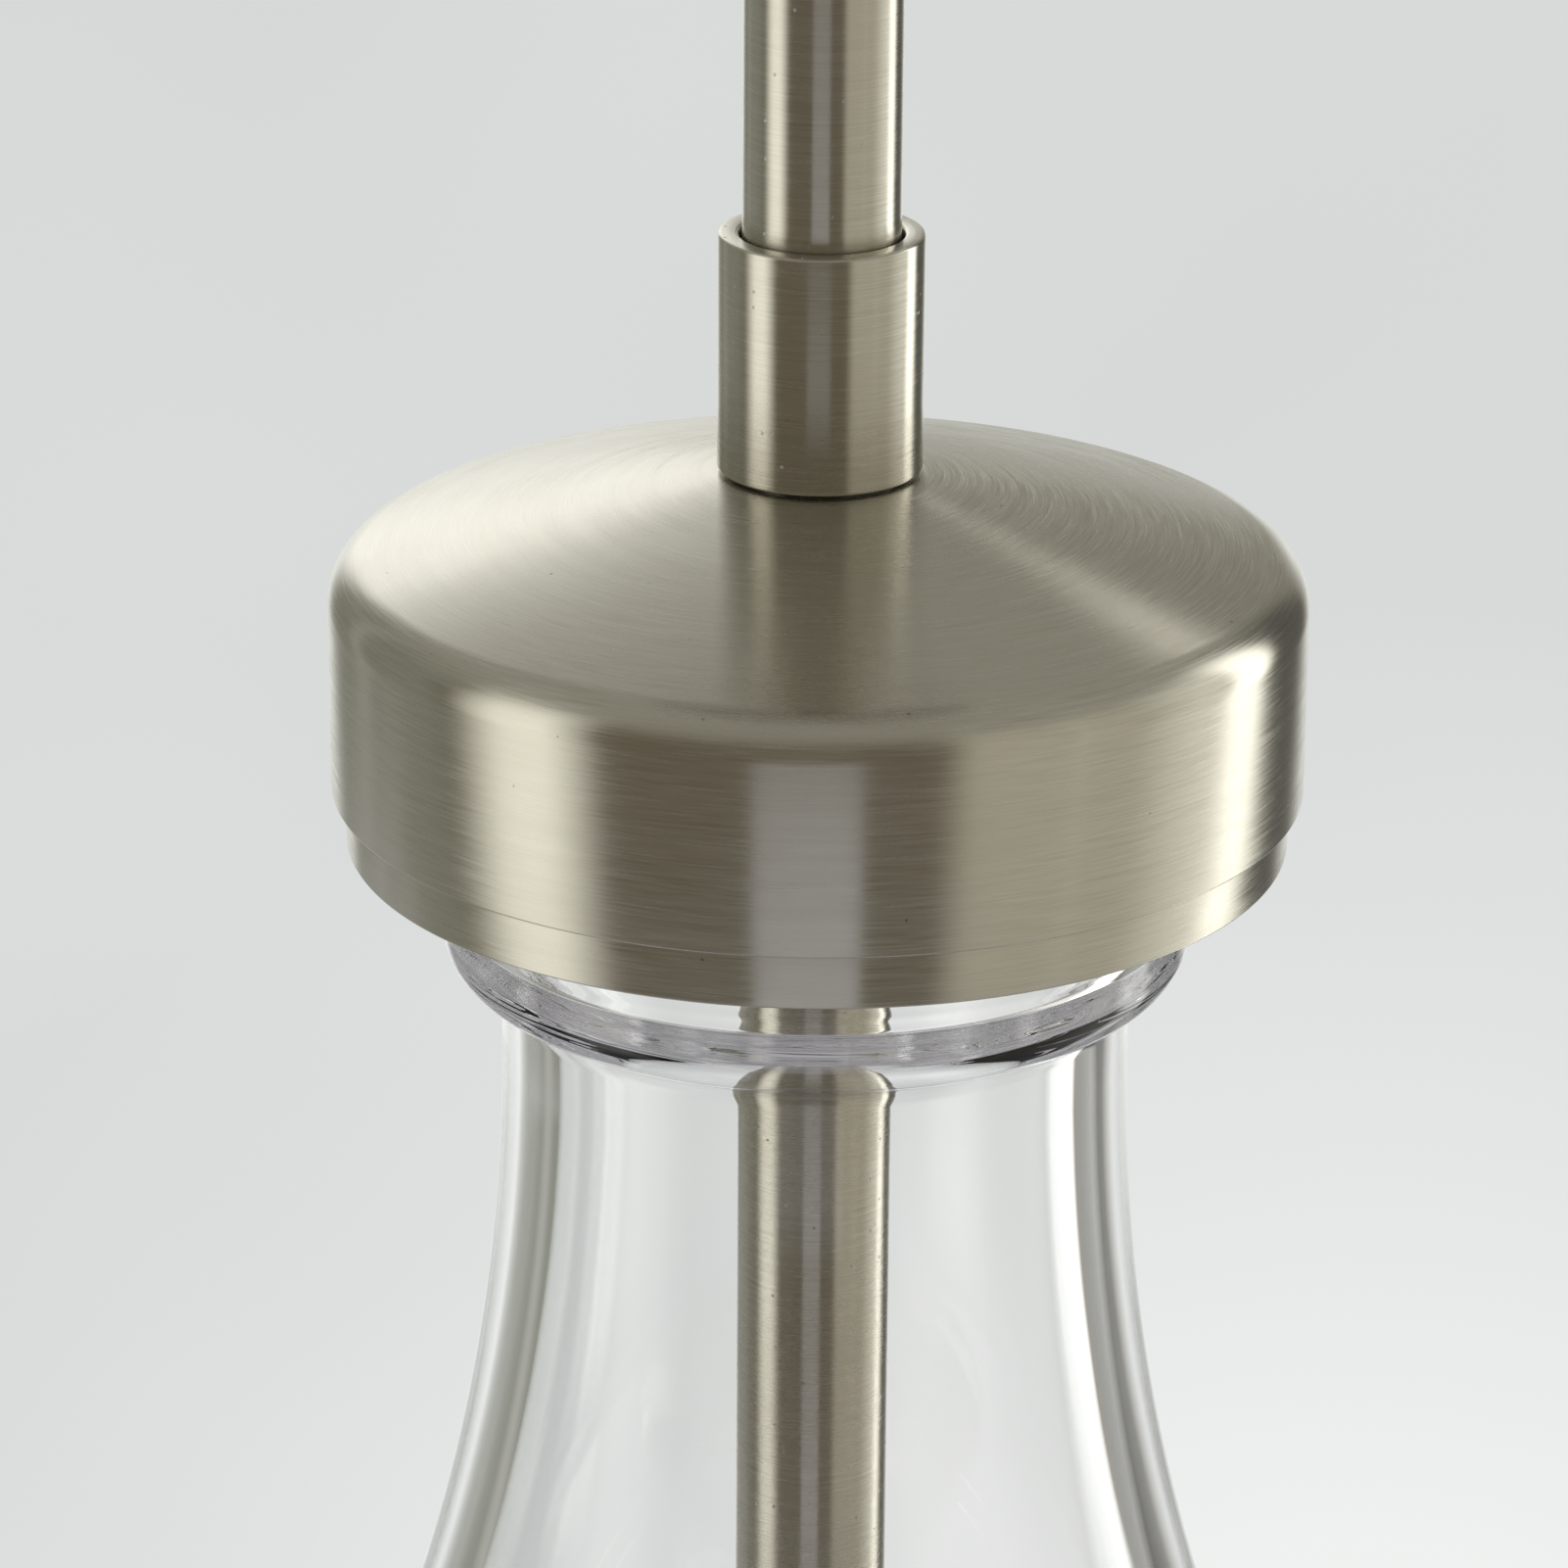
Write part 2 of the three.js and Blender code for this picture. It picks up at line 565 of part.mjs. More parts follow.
// Straight neck, a concave arc, then a globe, tangent to each other.
function bulbGlass() {
  const drop = BULB_NECK_END - BULB_GLOBE_Z;
  const neck = BULB_NECK_RADIUS;
  const sweep = (neck ** 2 + drop ** 2 - BULB_GLOBE_RADIUS ** 2) / (2 * (BULB_GLOBE_RADIUS - neck));
  const angle = THREE.MathUtils.radToDeg(Math.atan2(drop, neck + sweep));
  const skin = (inset, steps) => [
    point(neck - inset, -11),
    ...arc(neck + sweep, BULB_NECK_END, sweep + inset, 180, 180 + angle, steps),
    ...arc(0, BULB_GLOBE_Z, BULB_GLOBE_RADIUS - inset, angle, -90, 2 * steps).slice(1, -1),
    point(0, BULB_GLOBE_Z - BULB_GLOBE_RADIUS + inset),
  ];
  return turned([...skin(0, 4).reverse(), ...skin(BULB_WALL, 4)], MEDIUM);
}

const FILAMENT_TOP = -52;
const FILAMENT_END = -90;
const FILAMENT_HUB = 1;

// Flared glass foot in the neck and a thin post down the middle.
function bulbStem() {
  return turned([
    point(0, -12), point(9.5, -12), point(9.5, -13), point(4, -20), point(3, -34), point(2.4, -44),
    point(FILAMENT_HUB, -47), point(FILAMENT_HUB, FILAMENT_TOP + 2), point(0, FILAMENT_TOP + 2),
  ], COARSE);
}

// Four slanting filament sticks between two small hubs on the axis.
function filamentCage() {
  const [stickRadius, topReach, endReach] = [0.9, 3.4, 7.5];
  const spoke = (reach, height) => {
    const arm = new THREE.CylinderGeometry(0.4, 0.4, reach, 6);
    arm.rotateZ(Math.PI / 2);
    return arm.translate(reach / 2, 0, height);
  };
  const hubs = [rod(FILAMENT_HUB, FILAMENT_TOP + 1, FILAMENT_TOP - 1, 12),
    rod(FILAMENT_HUB, FILAMENT_END + 1, FILAMENT_END - 1, 12), rod(0.5, FILAMENT_TOP, FILAMENT_END, 8)];
  const pieces = [];
  for (let i = 0; i < FILAMENT_COUNT; i += 1) {
    const turn = 2 * Math.PI * i / FILAMENT_COUNT;
    const length = Math.hypot(FILAMENT_TOP - FILAMENT_END, endReach - topReach);
    const stick = new THREE.CylinderGeometry(stickRadius, stickRadius, length, 8);
    stick.rotateX(Math.PI / 2);
    stick.rotateY(Math.atan2(topReach - endReach, FILAMENT_TOP - FILAMENT_END));
    stick.translate((topReach + endReach) / 2, 0, (FILAMENT_TOP + FILAMENT_END) / 2);
    for (const piece of [stick, spoke(topReach, FILAMENT_TOP), spoke(endReach, FILAMENT_END)]) {
      pieces.push(piece.rotateZ(turn));
    }
  }
  return join(hubs[0], ...hubs.slice(1), ...pieces);
}

// ---------------------------------------------------------------- assembly

const lamp = new THREE.Group();
const fitter = new THREE.Group();
fitter.position.z = FITTER_Z;
const socket = new THREE.Group();
socket.position.z = INNER_TUBE_END_Z - REST_GAP;
const bulb = new THREE.Group();
bulb.position.z = BULB_TIP_Z;
lamp.add(fitter);
fitter.add(socket, bulb);

function add(group, name, geometry, material, x = 0, y = 0) {
  const mesh = new THREE.Mesh(geometry, material);
  mesh.name = name;
  mesh.position.set(x, y, 0);
  group.add(mesh);
}

add(lamp, 'mounting_bracket', bracketPlate(), zincSteel);
add(lamp, 'ground_screw', groundScrew(), groundGreen, GROUND_SCREW_X, 0);
for (const [name, side] of [['front', -1], ['rear', 1]]) {
  const y = side * STUD_SPACING / 2;
  const nutTop = -BRACKET_THICKNESS - REST_GAP;
  add(lamp, `canopy_stud_${name}`, rod(STUD_RADIUS, -REST_GAP, STUD_END_Z, COARSE / 2), zincSteel, 0, y);
  add(lamp, `stud_locknut_${name}`, hexNut(8, STUD_HOLE, nutTop, nutTop - 3), zincSteel, 0, y);
  add(lamp, `canopy_nut_${name}`, canopyNut(), satinNickel, 0, y);
}
add(lamp, 'canopy', canopyDish(), satinNickel);

add(lamp, 'swivel_housing', swivelHousing(), satinNickel);
const canopyInside = -CANOPY_DEPTH + CANOPY_WALL + REST_GAP;
add(lamp, 'swivel_locknut', hexNut(32, SPIGOT_HOLE, canopyInside + 4, canopyInside), zincSteel);
add(lamp, 'swivel_seat', swivelSeat(), brass);
add(lamp, 'swivel_ball', swivelBall(), satinNickel);
add(lamp, 'upper_rod', ring(TUBE_RADIUS, TUBE_BORE, ROD_TOP_Z, FITTER_Z + ROD_END_Z, MEDIUM), satinNickel);

add(fitter, 'collar', collarSleeve(), satinNickel);
add(fitter, 'cap_shell', capShell(), satinNickel);

// The stop ring is clamped on the rod under the cap's land by a grub screw.
const stopRingTop = CAP_LAND_Z - CAP_WALL - REST_GAP;
const stopRingMiddle = stopRingTop - STOP_RING_HEIGHT / 2;
function sidewaysRod(radius, fromX, toX) {
  const geometry = rod(radius, toX, fromX, COARSE / 2);
  geometry.rotateY(Math.PI / 2);
  return geometry.translate(0, 0, stopRingMiddle);
}
const grubStart = TUBE_RADIUS + REST_GAP;
const grubScrew = sidewaysRod(GRUB_SCREW_RADIUS, grubStart, grubStart + GRUB_SCREW_LENGTH);
const grubHole = sidewaysRod(GRUB_HOLE_RADIUS, TUBE_RADIUS, STOP_RING_RADIUS + 1);
const stopRing = ring(STOP_RING_RADIUS, COLLAR_BORE, stopRingTop, stopRingTop - STOP_RING_HEIGHT, MEDIUM);
add(fitter, 'cap_stop_ring', cut(stopRing, grubHole), zincSteel);
add(fitter, 'stop_ring_screw', grubScrew, zincSteel);

// The clamp stack, from the rod's end down to the inner tube.
add(fitter, 'rod_locknut', hexNut(14, NUT_BORE, ROD_END_Z - REST_GAP, HOLDER_TOP_Z + REST_GAP), zincSteel);
add(fitter, 'glass_holder', holderDish(), satinNickel);
const holderUnderside = HOLDER_TOP_Z - HOLDER_WALL;
const upperGasket = ring(UPPER_GASKET_RADIUS, NUT_BORE, holderUnderside - REST_GAP, GLASS_TOP_Z + REST_GAP);
add(fitter, 'upper_gasket', upperGasket, rubber);
add(fitter, 'glass_shade', glassBell(), clearGlass);
let stackZ = GLASS_TOP_Z - GLASS_WALL;
function stack(name, thickness, make, material) {
  const top = stackZ - REST_GAP;
  stackZ = top - thickness;
  add(fitter, name, make(top, stackZ), material);
}
stack('lower_gasket', 1.5, (top, bottom) => ring(LOWER_GASKET_RADIUS, NUT_BORE, top, bottom), rubber);
stack('retaining_washer', 1.2, (top, bottom) => (
  ring(WASHER_RADIUS, NUT_BORE, top, bottom, MEDIUM)
), zincSteel);
stack('retaining_nut', 2.9, (top, bottom) => hexNut(16, NUT_BORE, top, bottom), zincSteel);
const innerTubeTop = stackZ - REST_GAP;
const innerTube = ring(TUBE_RADIUS, TUBE_BORE, innerTubeTop, INNER_TUBE_END_Z, MEDIUM);
add(fitter, 'inner_tube', innerTube, satinNickel);
const nippleTop = ROD_END_Z + NIPPLE_GRIP;
const nippleEnd = innerTubeTop - NIPPLE_GRIP;
add(fitter, 'stem_nipple', ring(NIPPLE_RADIUS, NIPPLE_BORE, nippleTop, nippleEnd), brass);

add(socket, 'socket_nipple', ring(NIPPLE_RADIUS, NIPPLE_BORE, NIPPLE_GRIP, INSULATOR_TOP - 3), brass);
add(socket, 'socket_cup', socketCup(), satinNickel);
const cupInside = -CUP_WALL - REST_GAP;
add(socket, 'socket_locknut', hexNut(14, NUT_BORE, cupInside, cupInside - 3), zincSteel);
add(socket, 'socket_insulator', socketInsulator(), phenolic);
add(socket, 'screw_shell', screwShell(), brass);
add(socket, 'centre_contact', contactSpring(), brass);

// Two insulated conductors run side by side from the swivel ball down the stem to the lamp holder.
const leadTop = BALL_CENTRE_Z + BALL_RADIUS + 2 - FITTER_Z;
const leadEnd = INNER_TUBE_END_Z - 8;
const lead = rod(LEAD_RADIUS, leadTop, leadEnd, 8);
add(fitter, 'live_lead', lead, liveJacket, LEAD_SPREAD, 0);
add(fitter, 'neutral_lead', lead, neutralJacket, -LEAD_SPREAD, 0);

add(bulb, 'bulb_contact', bulbContact(), brass);
add(bulb, 'bulb_base', bulbBase(), aluminium);
add(bulb, 'bulb_glass', bulbGlass(), clearGlass);
add(bulb, 'bulb_stem', bulbStem(), clearGlass);
add(bulb, 'filaments', filamentCage(), filamentGlow);

export default lamp;
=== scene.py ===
"""Looks for a stem-hung pendant lamp with a clear glass bell shade and satin nickel fittings."""

import json
import math

import bmesh
import bpy
from mathutils import Matrix, Vector


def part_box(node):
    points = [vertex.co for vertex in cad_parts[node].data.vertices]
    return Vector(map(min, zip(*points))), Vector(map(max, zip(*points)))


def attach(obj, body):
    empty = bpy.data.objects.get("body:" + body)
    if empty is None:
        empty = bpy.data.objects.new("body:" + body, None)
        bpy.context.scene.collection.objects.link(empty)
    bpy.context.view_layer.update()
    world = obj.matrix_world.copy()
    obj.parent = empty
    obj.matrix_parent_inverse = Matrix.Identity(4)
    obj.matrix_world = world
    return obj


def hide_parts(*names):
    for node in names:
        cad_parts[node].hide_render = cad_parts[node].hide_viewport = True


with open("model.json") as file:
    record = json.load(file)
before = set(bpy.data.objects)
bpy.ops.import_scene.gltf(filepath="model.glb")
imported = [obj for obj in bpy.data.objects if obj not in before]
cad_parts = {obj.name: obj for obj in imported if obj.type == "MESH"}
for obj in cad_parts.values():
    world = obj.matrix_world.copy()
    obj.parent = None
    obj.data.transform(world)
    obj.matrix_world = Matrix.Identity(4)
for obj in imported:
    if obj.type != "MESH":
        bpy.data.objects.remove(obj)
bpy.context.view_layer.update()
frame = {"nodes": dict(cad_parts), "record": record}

# Lengths of the lamp are in mm. Those of the camera, the stage and the lights are in metres.
MM = 0.001
EDGE = 0.18                 # the soft edge on cut sheet and tube
GAP = 0.3                   # between pieces that rest on each other
RUN_OUT = 0.8               # over which a thread fades out at either end
ROD_END = (0, 0.52, 1.05)   # radians up the round end of a rod, short of its pole

# The holder's lower rim is the height that the cap, the holder and the shade are measured from.
RIM_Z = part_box("glass_holder")[0].z / MM
TUBE_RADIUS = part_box("upper_rod")[1].x / MM
TUBE_BORE = 5.2
NUT_BORE = 5.2


def height(node, end):
    """The lowest (end 0) or highest (end 1) height of a node, in mm."""
    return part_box(node)[end].z / MM


def radius(node):
    """How far a node on the lamp's axis reaches from it, in mm."""
    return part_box(node)[1].x / MM


# ---------------------------------------------------------------- outlines, as (radius, height) in mm

def arc(centre_r, centre_z, size, start, end, steps):
    """Points along an arc, from start to end degrees."""
    turns = (math.radians(start + (end - start) * i / steps) for i in range(steps + 1))
    return [(centre_r + size * math.cos(t), centre_z + size * math.sin(t)) for t in turns]


def round_corner(before, corner, after, size, steps):
    """The arc of the given radius that rounds off the corner between two lines."""
    corner = Vector(corner)
    to_before = (Vector(before) - corner).normalized()
    to_after = (Vector(after) - corner).normalized()
    half = math.acos(max(-1.0, min(1.0, to_before.dot(to_after)))) / 2
    centre = corner + (to_before + to_after).normalized() * (size / math.sin(half))
    start = corner + to_before * (size / math.tan(half)) - centre
    end = corner + to_after * (size / math.tan(half)) - centre
    turn = math.atan2(start.x * end.y - start.y * end.x, start.dot(end))
    points = []
    for i in range(steps + 1):
        spoke = Matrix.Rotation(turn * i / steps, 2) @ start
        points.append(tuple(centre + spoke))
    return points


def outline(corners, steps=10):
    """Corners are (radius, height) or (radius, height, fillet)."""
    points = []
    for i, corner in enumerate(corners):
        if len(corner) == 2:
            points.append(corner)
        else:
            before = corners[i - 1][:2]
            after = corners[(i + 1) % len(corners)][:2]
            points += round_corner(before, corner[:2], after, corner[2], steps)
    return points


def right_of(start, end):
    """The direction to the right of a line, as seen along it."""
    along = (Vector(end) - Vector(start)).normalized()
    return Vector((along.y, -along.x))


def sheet(outer, wall):
    """A sheet of even thickness: the outline, then its copy on its right-hand side, with eased ends."""
    inner = []
    for i, corner in enumerate(outer):
        leaving = right_of(corner, outer[i + 1]) if i < len(outer) - 1 else right_of(outer[i - 1], corner)
        arriving = right_of(outer[i - 1], corner) if i else leaving
        mitre = (arriving + leaving).normalized()
        inner.append(tuple(Vector(corner) + mitre * (wall / mitre.dot(arriving))))
    loop = outer + inner[::-1]
    ease = min(EDGE, wall * 0.4)
    eased = []
    for i, corner in enumerate(loop):
        if i in (0, len(outer) - 1, len(outer), len(loop) - 1):
            eased += round_corner(loop[i - 1], corner, loop[(i + 1) % len(loop)], ease, 4)
        else:
            eased.append(corner)
    return eased


def tube(outer, bore, top, bottom, ease=EDGE):
    """The section of a straight tube or a flat ring."""
    return outline([(bore, bottom, ease), (outer, bottom, ease), (outer, top, ease), (bore, top, ease)], 4)


# ---------------------------------------------------------------- meshes

def area_of(loop):
    """Above zero when the loop runs anticlockwise."""
    pairs = zip(loop, loop[1:] + loop[:1])
    return sum(a[0] * b[1] - b[0] * a[1] for a, b in pairs) / 2


def turned(name, loop, segments=256, base_z=0.0, ripple=None):
    """Turns a closed outline about the lamp's axis. An outline may touch the axis at its two ends.
    ripple(turn, radius, height) may push a point out, as a knurl or a thread does."""
    if area_of(loop) < 0:
        loop = loop[::-1]
    on_axis = [r < 1e-6 for r, _ in loop]
    mesh = bmesh.new()
    rings = []
    for (r, z), central in zip(loop, on_axis):
        if central:
            rings.append([mesh.verts.new((0, 0, (z + base_z) * MM))])
            continue
        ring = []
        for i in range(segments):
            turn = 2 * math.pi * i / segments
            reach = r + (ripple(turn, r, z) if ripple else 0)
            point = (reach * math.cos(turn), reach * math.sin(turn), z + base_z)
            ring.append(mesh.verts.new([value * MM for value in point]))
        rings.append(ring)
    for lower, upper in zip(rings, rings[1:] + rings[:1]):
        if len(lower) == 1 and len(upper) == 1:
            continue
        for i in range(segments):
            j = (i + 1) % segments
            corners = [lower[i % len(lower)], lower[j % len(lower)]]
            corners += [upper[j % len(upper)], upper[i % len(upper)]]
            mesh.faces.new(list(dict.fromkeys(corners)))
    return finish_mesh(name, mesh)


def finish_mesh(name, mesh, sharp=38):
    """Makes an object of the mesh, smooth but for edges sharper than the angle in degrees."""
    data = bpy.data.meshes.new(name)
    mesh.to_mesh(data)
    mesh.free()
    data.polygons.foreach_set("use_smooth", [True] * len(data.polygons))
    data.set_sharp_from_angle(angle=math.radians(sharp))
    piece = bpy.data.objects.new(name, data)
    bpy.context.collection.objects.link(piece)
    return piece


def rods(name, lines, segments=16):
    """Round-ended rods, each from a start to an end, with a radius, all in mm."""
    mesh = bmesh.new()
    for start, end, size in lines:
        start, end = Vector(start), Vector(end)
        turn = (end - start).to_track_quat("Z", "Y").to_matrix()
        length = (end - start).length
        cap = [(size * math.cos(a), size * math.sin(a)) for a in ROD_END]
        section = [(r, -z) for r, z in reversed(cap)] + [(r, length + z) for r, z in cap]
        poles = [mesh.verts.new((start + turn @ Vector((0, 0, z))) * MM) for z in (-size, length + size)]
        rings = []
        for r, z in section:
            ring = []
            for i in range(segments):
                a = 2 * math.pi * i / segments
                spoke = Vector((r * math.cos(a), r * math.sin(a), z))
                ring.append(mesh.verts.new((start + turn @ spoke) * MM))
            rings.append(ring)
        for i in range(segments):
            j = (i + 1) % segments
            mesh.faces.new((poles[0], rings[0][j], rings[0][i]))
            mesh.faces.new((poles[1], rings[-1][i], rings[-1][j]))
            for lower, upper in zip(rings, rings[1:]):
                mesh.faces.new((lower[i], lower[j], upper[j], upper[i]))
    return finish_mesh(name, mesh, 60)


def thread(depth, pitch, low, high):
    """A ripple that cuts a screw thread into what lies between two heights."""
    def ripple(turn, r, z):
        inside = min(1, max(0, min(z - low, high - z)) / RUN_OUT)
        return -depth * inside * (0.5 + 0.5 * math.sin(2 * math.pi * z / pitch - turn))
    return ripple


def hexagon(across):
    """A ripple that trims a turned nut to six flats, so that its chamfers come out as on a real one."""
    def ripple(turn, r, z):
        off_flat = (turn + math.pi / 6) % (math.pi / 3) - math.pi / 6
        return min(0, across / 2 / math.cos(off_flat) - r)
    return ripple


def wall_points(r, start, end, step=0.3):
    """Closely spaced points up or down a straight wall, for a thread to shape."""
    count = max(2, int(abs(end - start) / step))
    return [(r, start + (end - start) * i / count) for i in range(count + 1)]


def body_with(node):
    """The CAD body that a node moves with."""
    bodies = frame["record"]["behaviour"]["bodies"]
    return next(name for name, nodes in bodies.items() if node in nodes)


def slot_of(node):
    """The material slot that the record gives a node."""
    return next(part["material_slot"] for part in frame["record"]["subparts"] if part["node"] == node)


def place(piece, node, material, stands_for_it=True):
    """The piece takes a material, moves with a CAD node and, as a rule, stands for it."""
    piece.data.materials.append(material)
    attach(piece, body_with(node))
    if stands_for_it:
        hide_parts(node)


# ---------------------------------------------------------------- material building blocks

class Nodes:
    """The node tree of a material or a world, with short names for adding and joining nodes."""

    def __init__(self, owner):
        owner.use_nodes = True
        self.tree = owner.node_tree
        self.material = owner
        self.shader = self.tree.nodes.get("Principled BSDF")

    def add(self, kind, **settings):
        node = self.tree.nodes.new(kind)
        for key, value in settings.items():
            setattr(node, key, value)
        return node

    def join(self, output, target):
        self.tree.links.new(output, target)

    def sockets(self, **values):
        for name, value in values.items():
            self.shader.inputs[name.replace("_", " ")].default_value = value

    def feed(self, socket, value):
        """Sets a socket to a number or a colour, or joins another node's output to it."""
        if isinstance(value, (int, float)):
            socket.default_value = value
        elif isinstance(value, tuple):
            socket.default_value = (*value, 1)
        else:
            self.join(value, socket)

    def maths(self, operation, first, second=0):
        node = self.add("ShaderNodeMath", operation=operation)
        for socket, value in zip(node.inputs, (first, second)):
            self.feed(socket, value)
        return node.outputs[0]

    def blend(self, factor, first, second):
        """Mixes two colours by a factor from 0 to 1."""
        node = self.add("ShaderNodeMix", data_type="RGBA")
        self.feed(node.inputs[0], factor)
        self.feed(node.inputs[6], first)
        self.feed(node.inputs[7], second)
        return node.outputs[2]

    def stretch(self, value, low, high, to_low, to_high):
        """Maps what lies between low and high to between to_low and to_high, and clamps the rest."""
        node = self.add("ShaderNodeMapRange")
        self.join(value, node.inputs[0])
        for socket, number in zip(node.inputs[1:5], (low, high, to_low, to_high)):
            socket.default_value = number
        return node.outputs[0]

    def where(self):
        """The point on the piece, in metres."""
        return self.add("ShaderNodeTexCoord").outputs["Object"]

    def split(self, point):
        """The x, y and z of a point or a direction."""
        parts = self.add("ShaderNodeSeparateXYZ")
        self.join(point, parts.inputs[0])
        return parts.outputs

    def noise(self, where, scale, detail=2.0, roughness=0.5):
        """Soft mottling. The scale is per metre, here and below."""
        node = self.add("ShaderNodeTexNoise")
        node.inputs["Scale"].default_value = scale
        node.inputs["Detail"].default_value = detail
        node.inputs["Roughness"].default_value = roughness
        self.join(where, node.inputs["Vector"])
        return node.outputs[0]

    def turning_lines(self, along, across, detail=2.0):
        """Fine lines that run round the axis: long along the turn, and narrow across it."""
        x, y, z = self.split(self.where())
        square = self.maths("ADD", self.maths("MULTIPLY", x, x), self.maths("MULTIPLY", y, y))
        reach = self.maths("SQRT", square)
        mixed = self.add("ShaderNodeCombineXYZ")
        for value, scale, socket in ((x, along, 0), (y, along, 1), (z, across, 2)):
            self.join(self.maths("MULTIPLY", value, scale), mixed.inputs[socket])
        node = self.add("ShaderNodeTexNoise", noise_dimensions="4D")
        node.inputs["Scale"].default_value = 1
        node.inputs["Detail"].default_value = detail
        self.join(mixed.outputs[0], node.inputs["Vector"])
        self.join(self.maths("MULTIPLY", reach, across), node.inputs["W"])
        return node.outputs[0]

    def specks(self, where, scale, size, share):
        """Small round marks: 1 inside a mark and 0 outside. share is how many cells have one."""
        cells = self.add("ShaderNodeTexVoronoi")
        cells.inputs["Scale"].default_value = scale
        self.join(where, cells.inputs["Vector"])
        near = self.maths("LESS_THAN", cells.outputs["Distance"], size)
        tint = self.add("ShaderNodeSeparateColor")
        self.join(cells.outputs["Color"], tint.inputs[0])
        return self.maths("MULTIPLY", near, self.maths("LESS_THAN", tint.outputs[0], share))

    def bump(self, value, depth, below=None):
        """Raises the surface by the value times a depth in metres, on top of another bump if given."""
        node = self.add("ShaderNodeBump")
        node.inputs["Strength"].default_value = 1.0
        node.inputs["Distance"].default_value = depth
        self.join(value, node.inputs["Height"])
        if below:
            self.join(below, node.inputs["Normal"])
        return node.outputs[0]

    def across_turn(self):
        """Turns the highlight so that it spreads across the turning marks."""
        tangent = self.add("ShaderNodeTangent", direction_type="RADIAL", axis="Z")
        self.join(tangent.outputs[0], self.shader.inputs["Tangent"])
        self.sockets(Anisotropic_Rotation=0.25)


# ---------------------------------------------------------------- materials

TOOL_MARKS = 11         # mm below the holder's rim, where the marks of the glassmaker's tool end
DRAWN_FADE = 2          # mm, over which they fade out


def satin_nickel(name, roughness, lines, dust):
    """Plated steel with turning marks, faint stains, a few pits and, where asked, settled dust. lines
    is how strong the turning marks are, and dust is the share of places with a mote."""
    m = Nodes(bpy.data.materials.new(name))
    m.sockets(Metallic=1.0, Anisotropic=0.93)
    m.across_turn()
    where = m.where()
    hairs = m.turning_lines(220, 7000, 3)
    bands = m.turning_lines(60, 900)
    stains = m.noise(where, 60, 3, 0.6)
    tone = m.blend(m.stretch(hairs, 0.3, 0.7, 0, 1), (0.55, 0.53, 0.455), (0.66, 0.64, 0.565))
    tone = m.blend(m.stretch(stains, 0.35, 0.7, 0, 0.35), tone, (0.60, 0.56, 0.475))
    pits = m.specks(where, 900, 0.13, 0.02)
    tone = m.blend(m.maths("MULTIPLY", pits, 0.6), tone, (0.2, 0.18, 0.15))
    rough = m.maths("ADD", m.stretch(hairs, 0.25, 0.75, roughness - 0.05 * lines, roughness + 0.06 * lines),
                    m.stretch(bands, 0.3, 0.7, -0.015, 0.02))
    rough = m.maths("ADD", rough, m.stretch(stains, 0.35, 0.7, 0, 0.04))
    normal = m.bump(hairs, 0.000004 * lines)
    normal = m.bump(bands, 0.000006 * lines, below=normal)
    normal = m.bump(m.maths("SUBTRACT", 1, pits), 0.00003, below=normal)
    if dust:
        motes = m.specks(where, 1300, 0.2, dust)
        tone = m.blend(m.maths("MULTIPLY", motes, 0.8), tone, (0.95, 0.94, 0.92))
        rough = m.maths("ADD", rough, m.maths("MULTIPLY", motes, 0.4))
    m.join(tone, m.shader.inputs["Base Color"])
    m.join(rough, m.shader.inputs["Roughness"])
    m.join(normal, m.shader.inputs["Normal"])
    return m.material


def clear_glass(name, tint, waves, drawn_above=0.0):
    """Clear blown glass: a faint tint and slow waves in its surface, with a depth in metres. Above a
    height in mm the glass was shaped with a tool, which left marks round it."""
    m = Nodes(bpy.data.materials.new(name))
    m.sockets(Transmission_Weight=1.0, IOR=1.5, Roughness=0.0, Metallic=0.0)
    where = m.where()
    slow = m.noise(where, 45, 1)
    m.join(m.blend(slow, tint, tuple(min(1.0, c + 0.02) for c in tint)), m.shader.inputs["Base Color"])
    _, _, where_z = m.split(where)
    drawn = m.stretch(where_z, (drawn_above - DRAWN_FADE) * MM, drawn_above * MM, 0, 1)
    marks = m.maths("MULTIPLY", m.turning_lines(14, 600, 1), drawn)
    m.join(m.bump(marks, 0.0002, below=m.bump(slow, waves)), m.shader.inputs["Normal"])
    return m.material


def plain_metal(name, dark, light, roughness):
    """Turned or pressed metal with fine marks and a little tarnish."""
    m = Nodes(bpy.data.materials.new(name))
    m.sockets(Metallic=1.0, Anisotropic=0.4)
    m.across_turn()
    where = m.where()
    hairs = m.turning_lines(150, 4000)
    tarnish = m.noise(where, 220, 4, 0.65)
    tone = m.blend(m.stretch(tarnish, 0.35, 0.7, 0, 1), light, dark)
    m.join(tone, m.shader.inputs["Base Color"])
    m.join(m.maths("ADD", m.stretch(hairs, 0.3, 0.7, roughness - 0.04, roughness + 0.05),
                   m.stretch(tarnish, 0.4, 0.7, 0, 0.12)), m.shader.inputs["Roughness"])
    m.join(m.bump(hairs, 0.000008), m.shader.inputs["Normal"])
    return m.material


def moulded(name, dark, light, roughness):
    """Rubber, phenolic or paint: a mottled colour and a fine surface grain."""
    m = Nodes(bpy.data.materials.new(name))
    where = m.where()
    mottle = m.noise(where, 300, 3)
    texture = m.noise(where, 2500, 3, 0.7)
    m.join(m.blend(m.stretch(mottle, 0.35, 0.65, 0, 1), dark, light), m.shader.inputs["Base Color"])
    m.join(m.stretch(texture, 0.3, 0.7, roughness - 0.07, roughness + 0.08), m.shader.inputs["Roughness"])
    m.join(m.bump(texture, 0.00001), m.shader.inputs["Normal"])
    return m.material


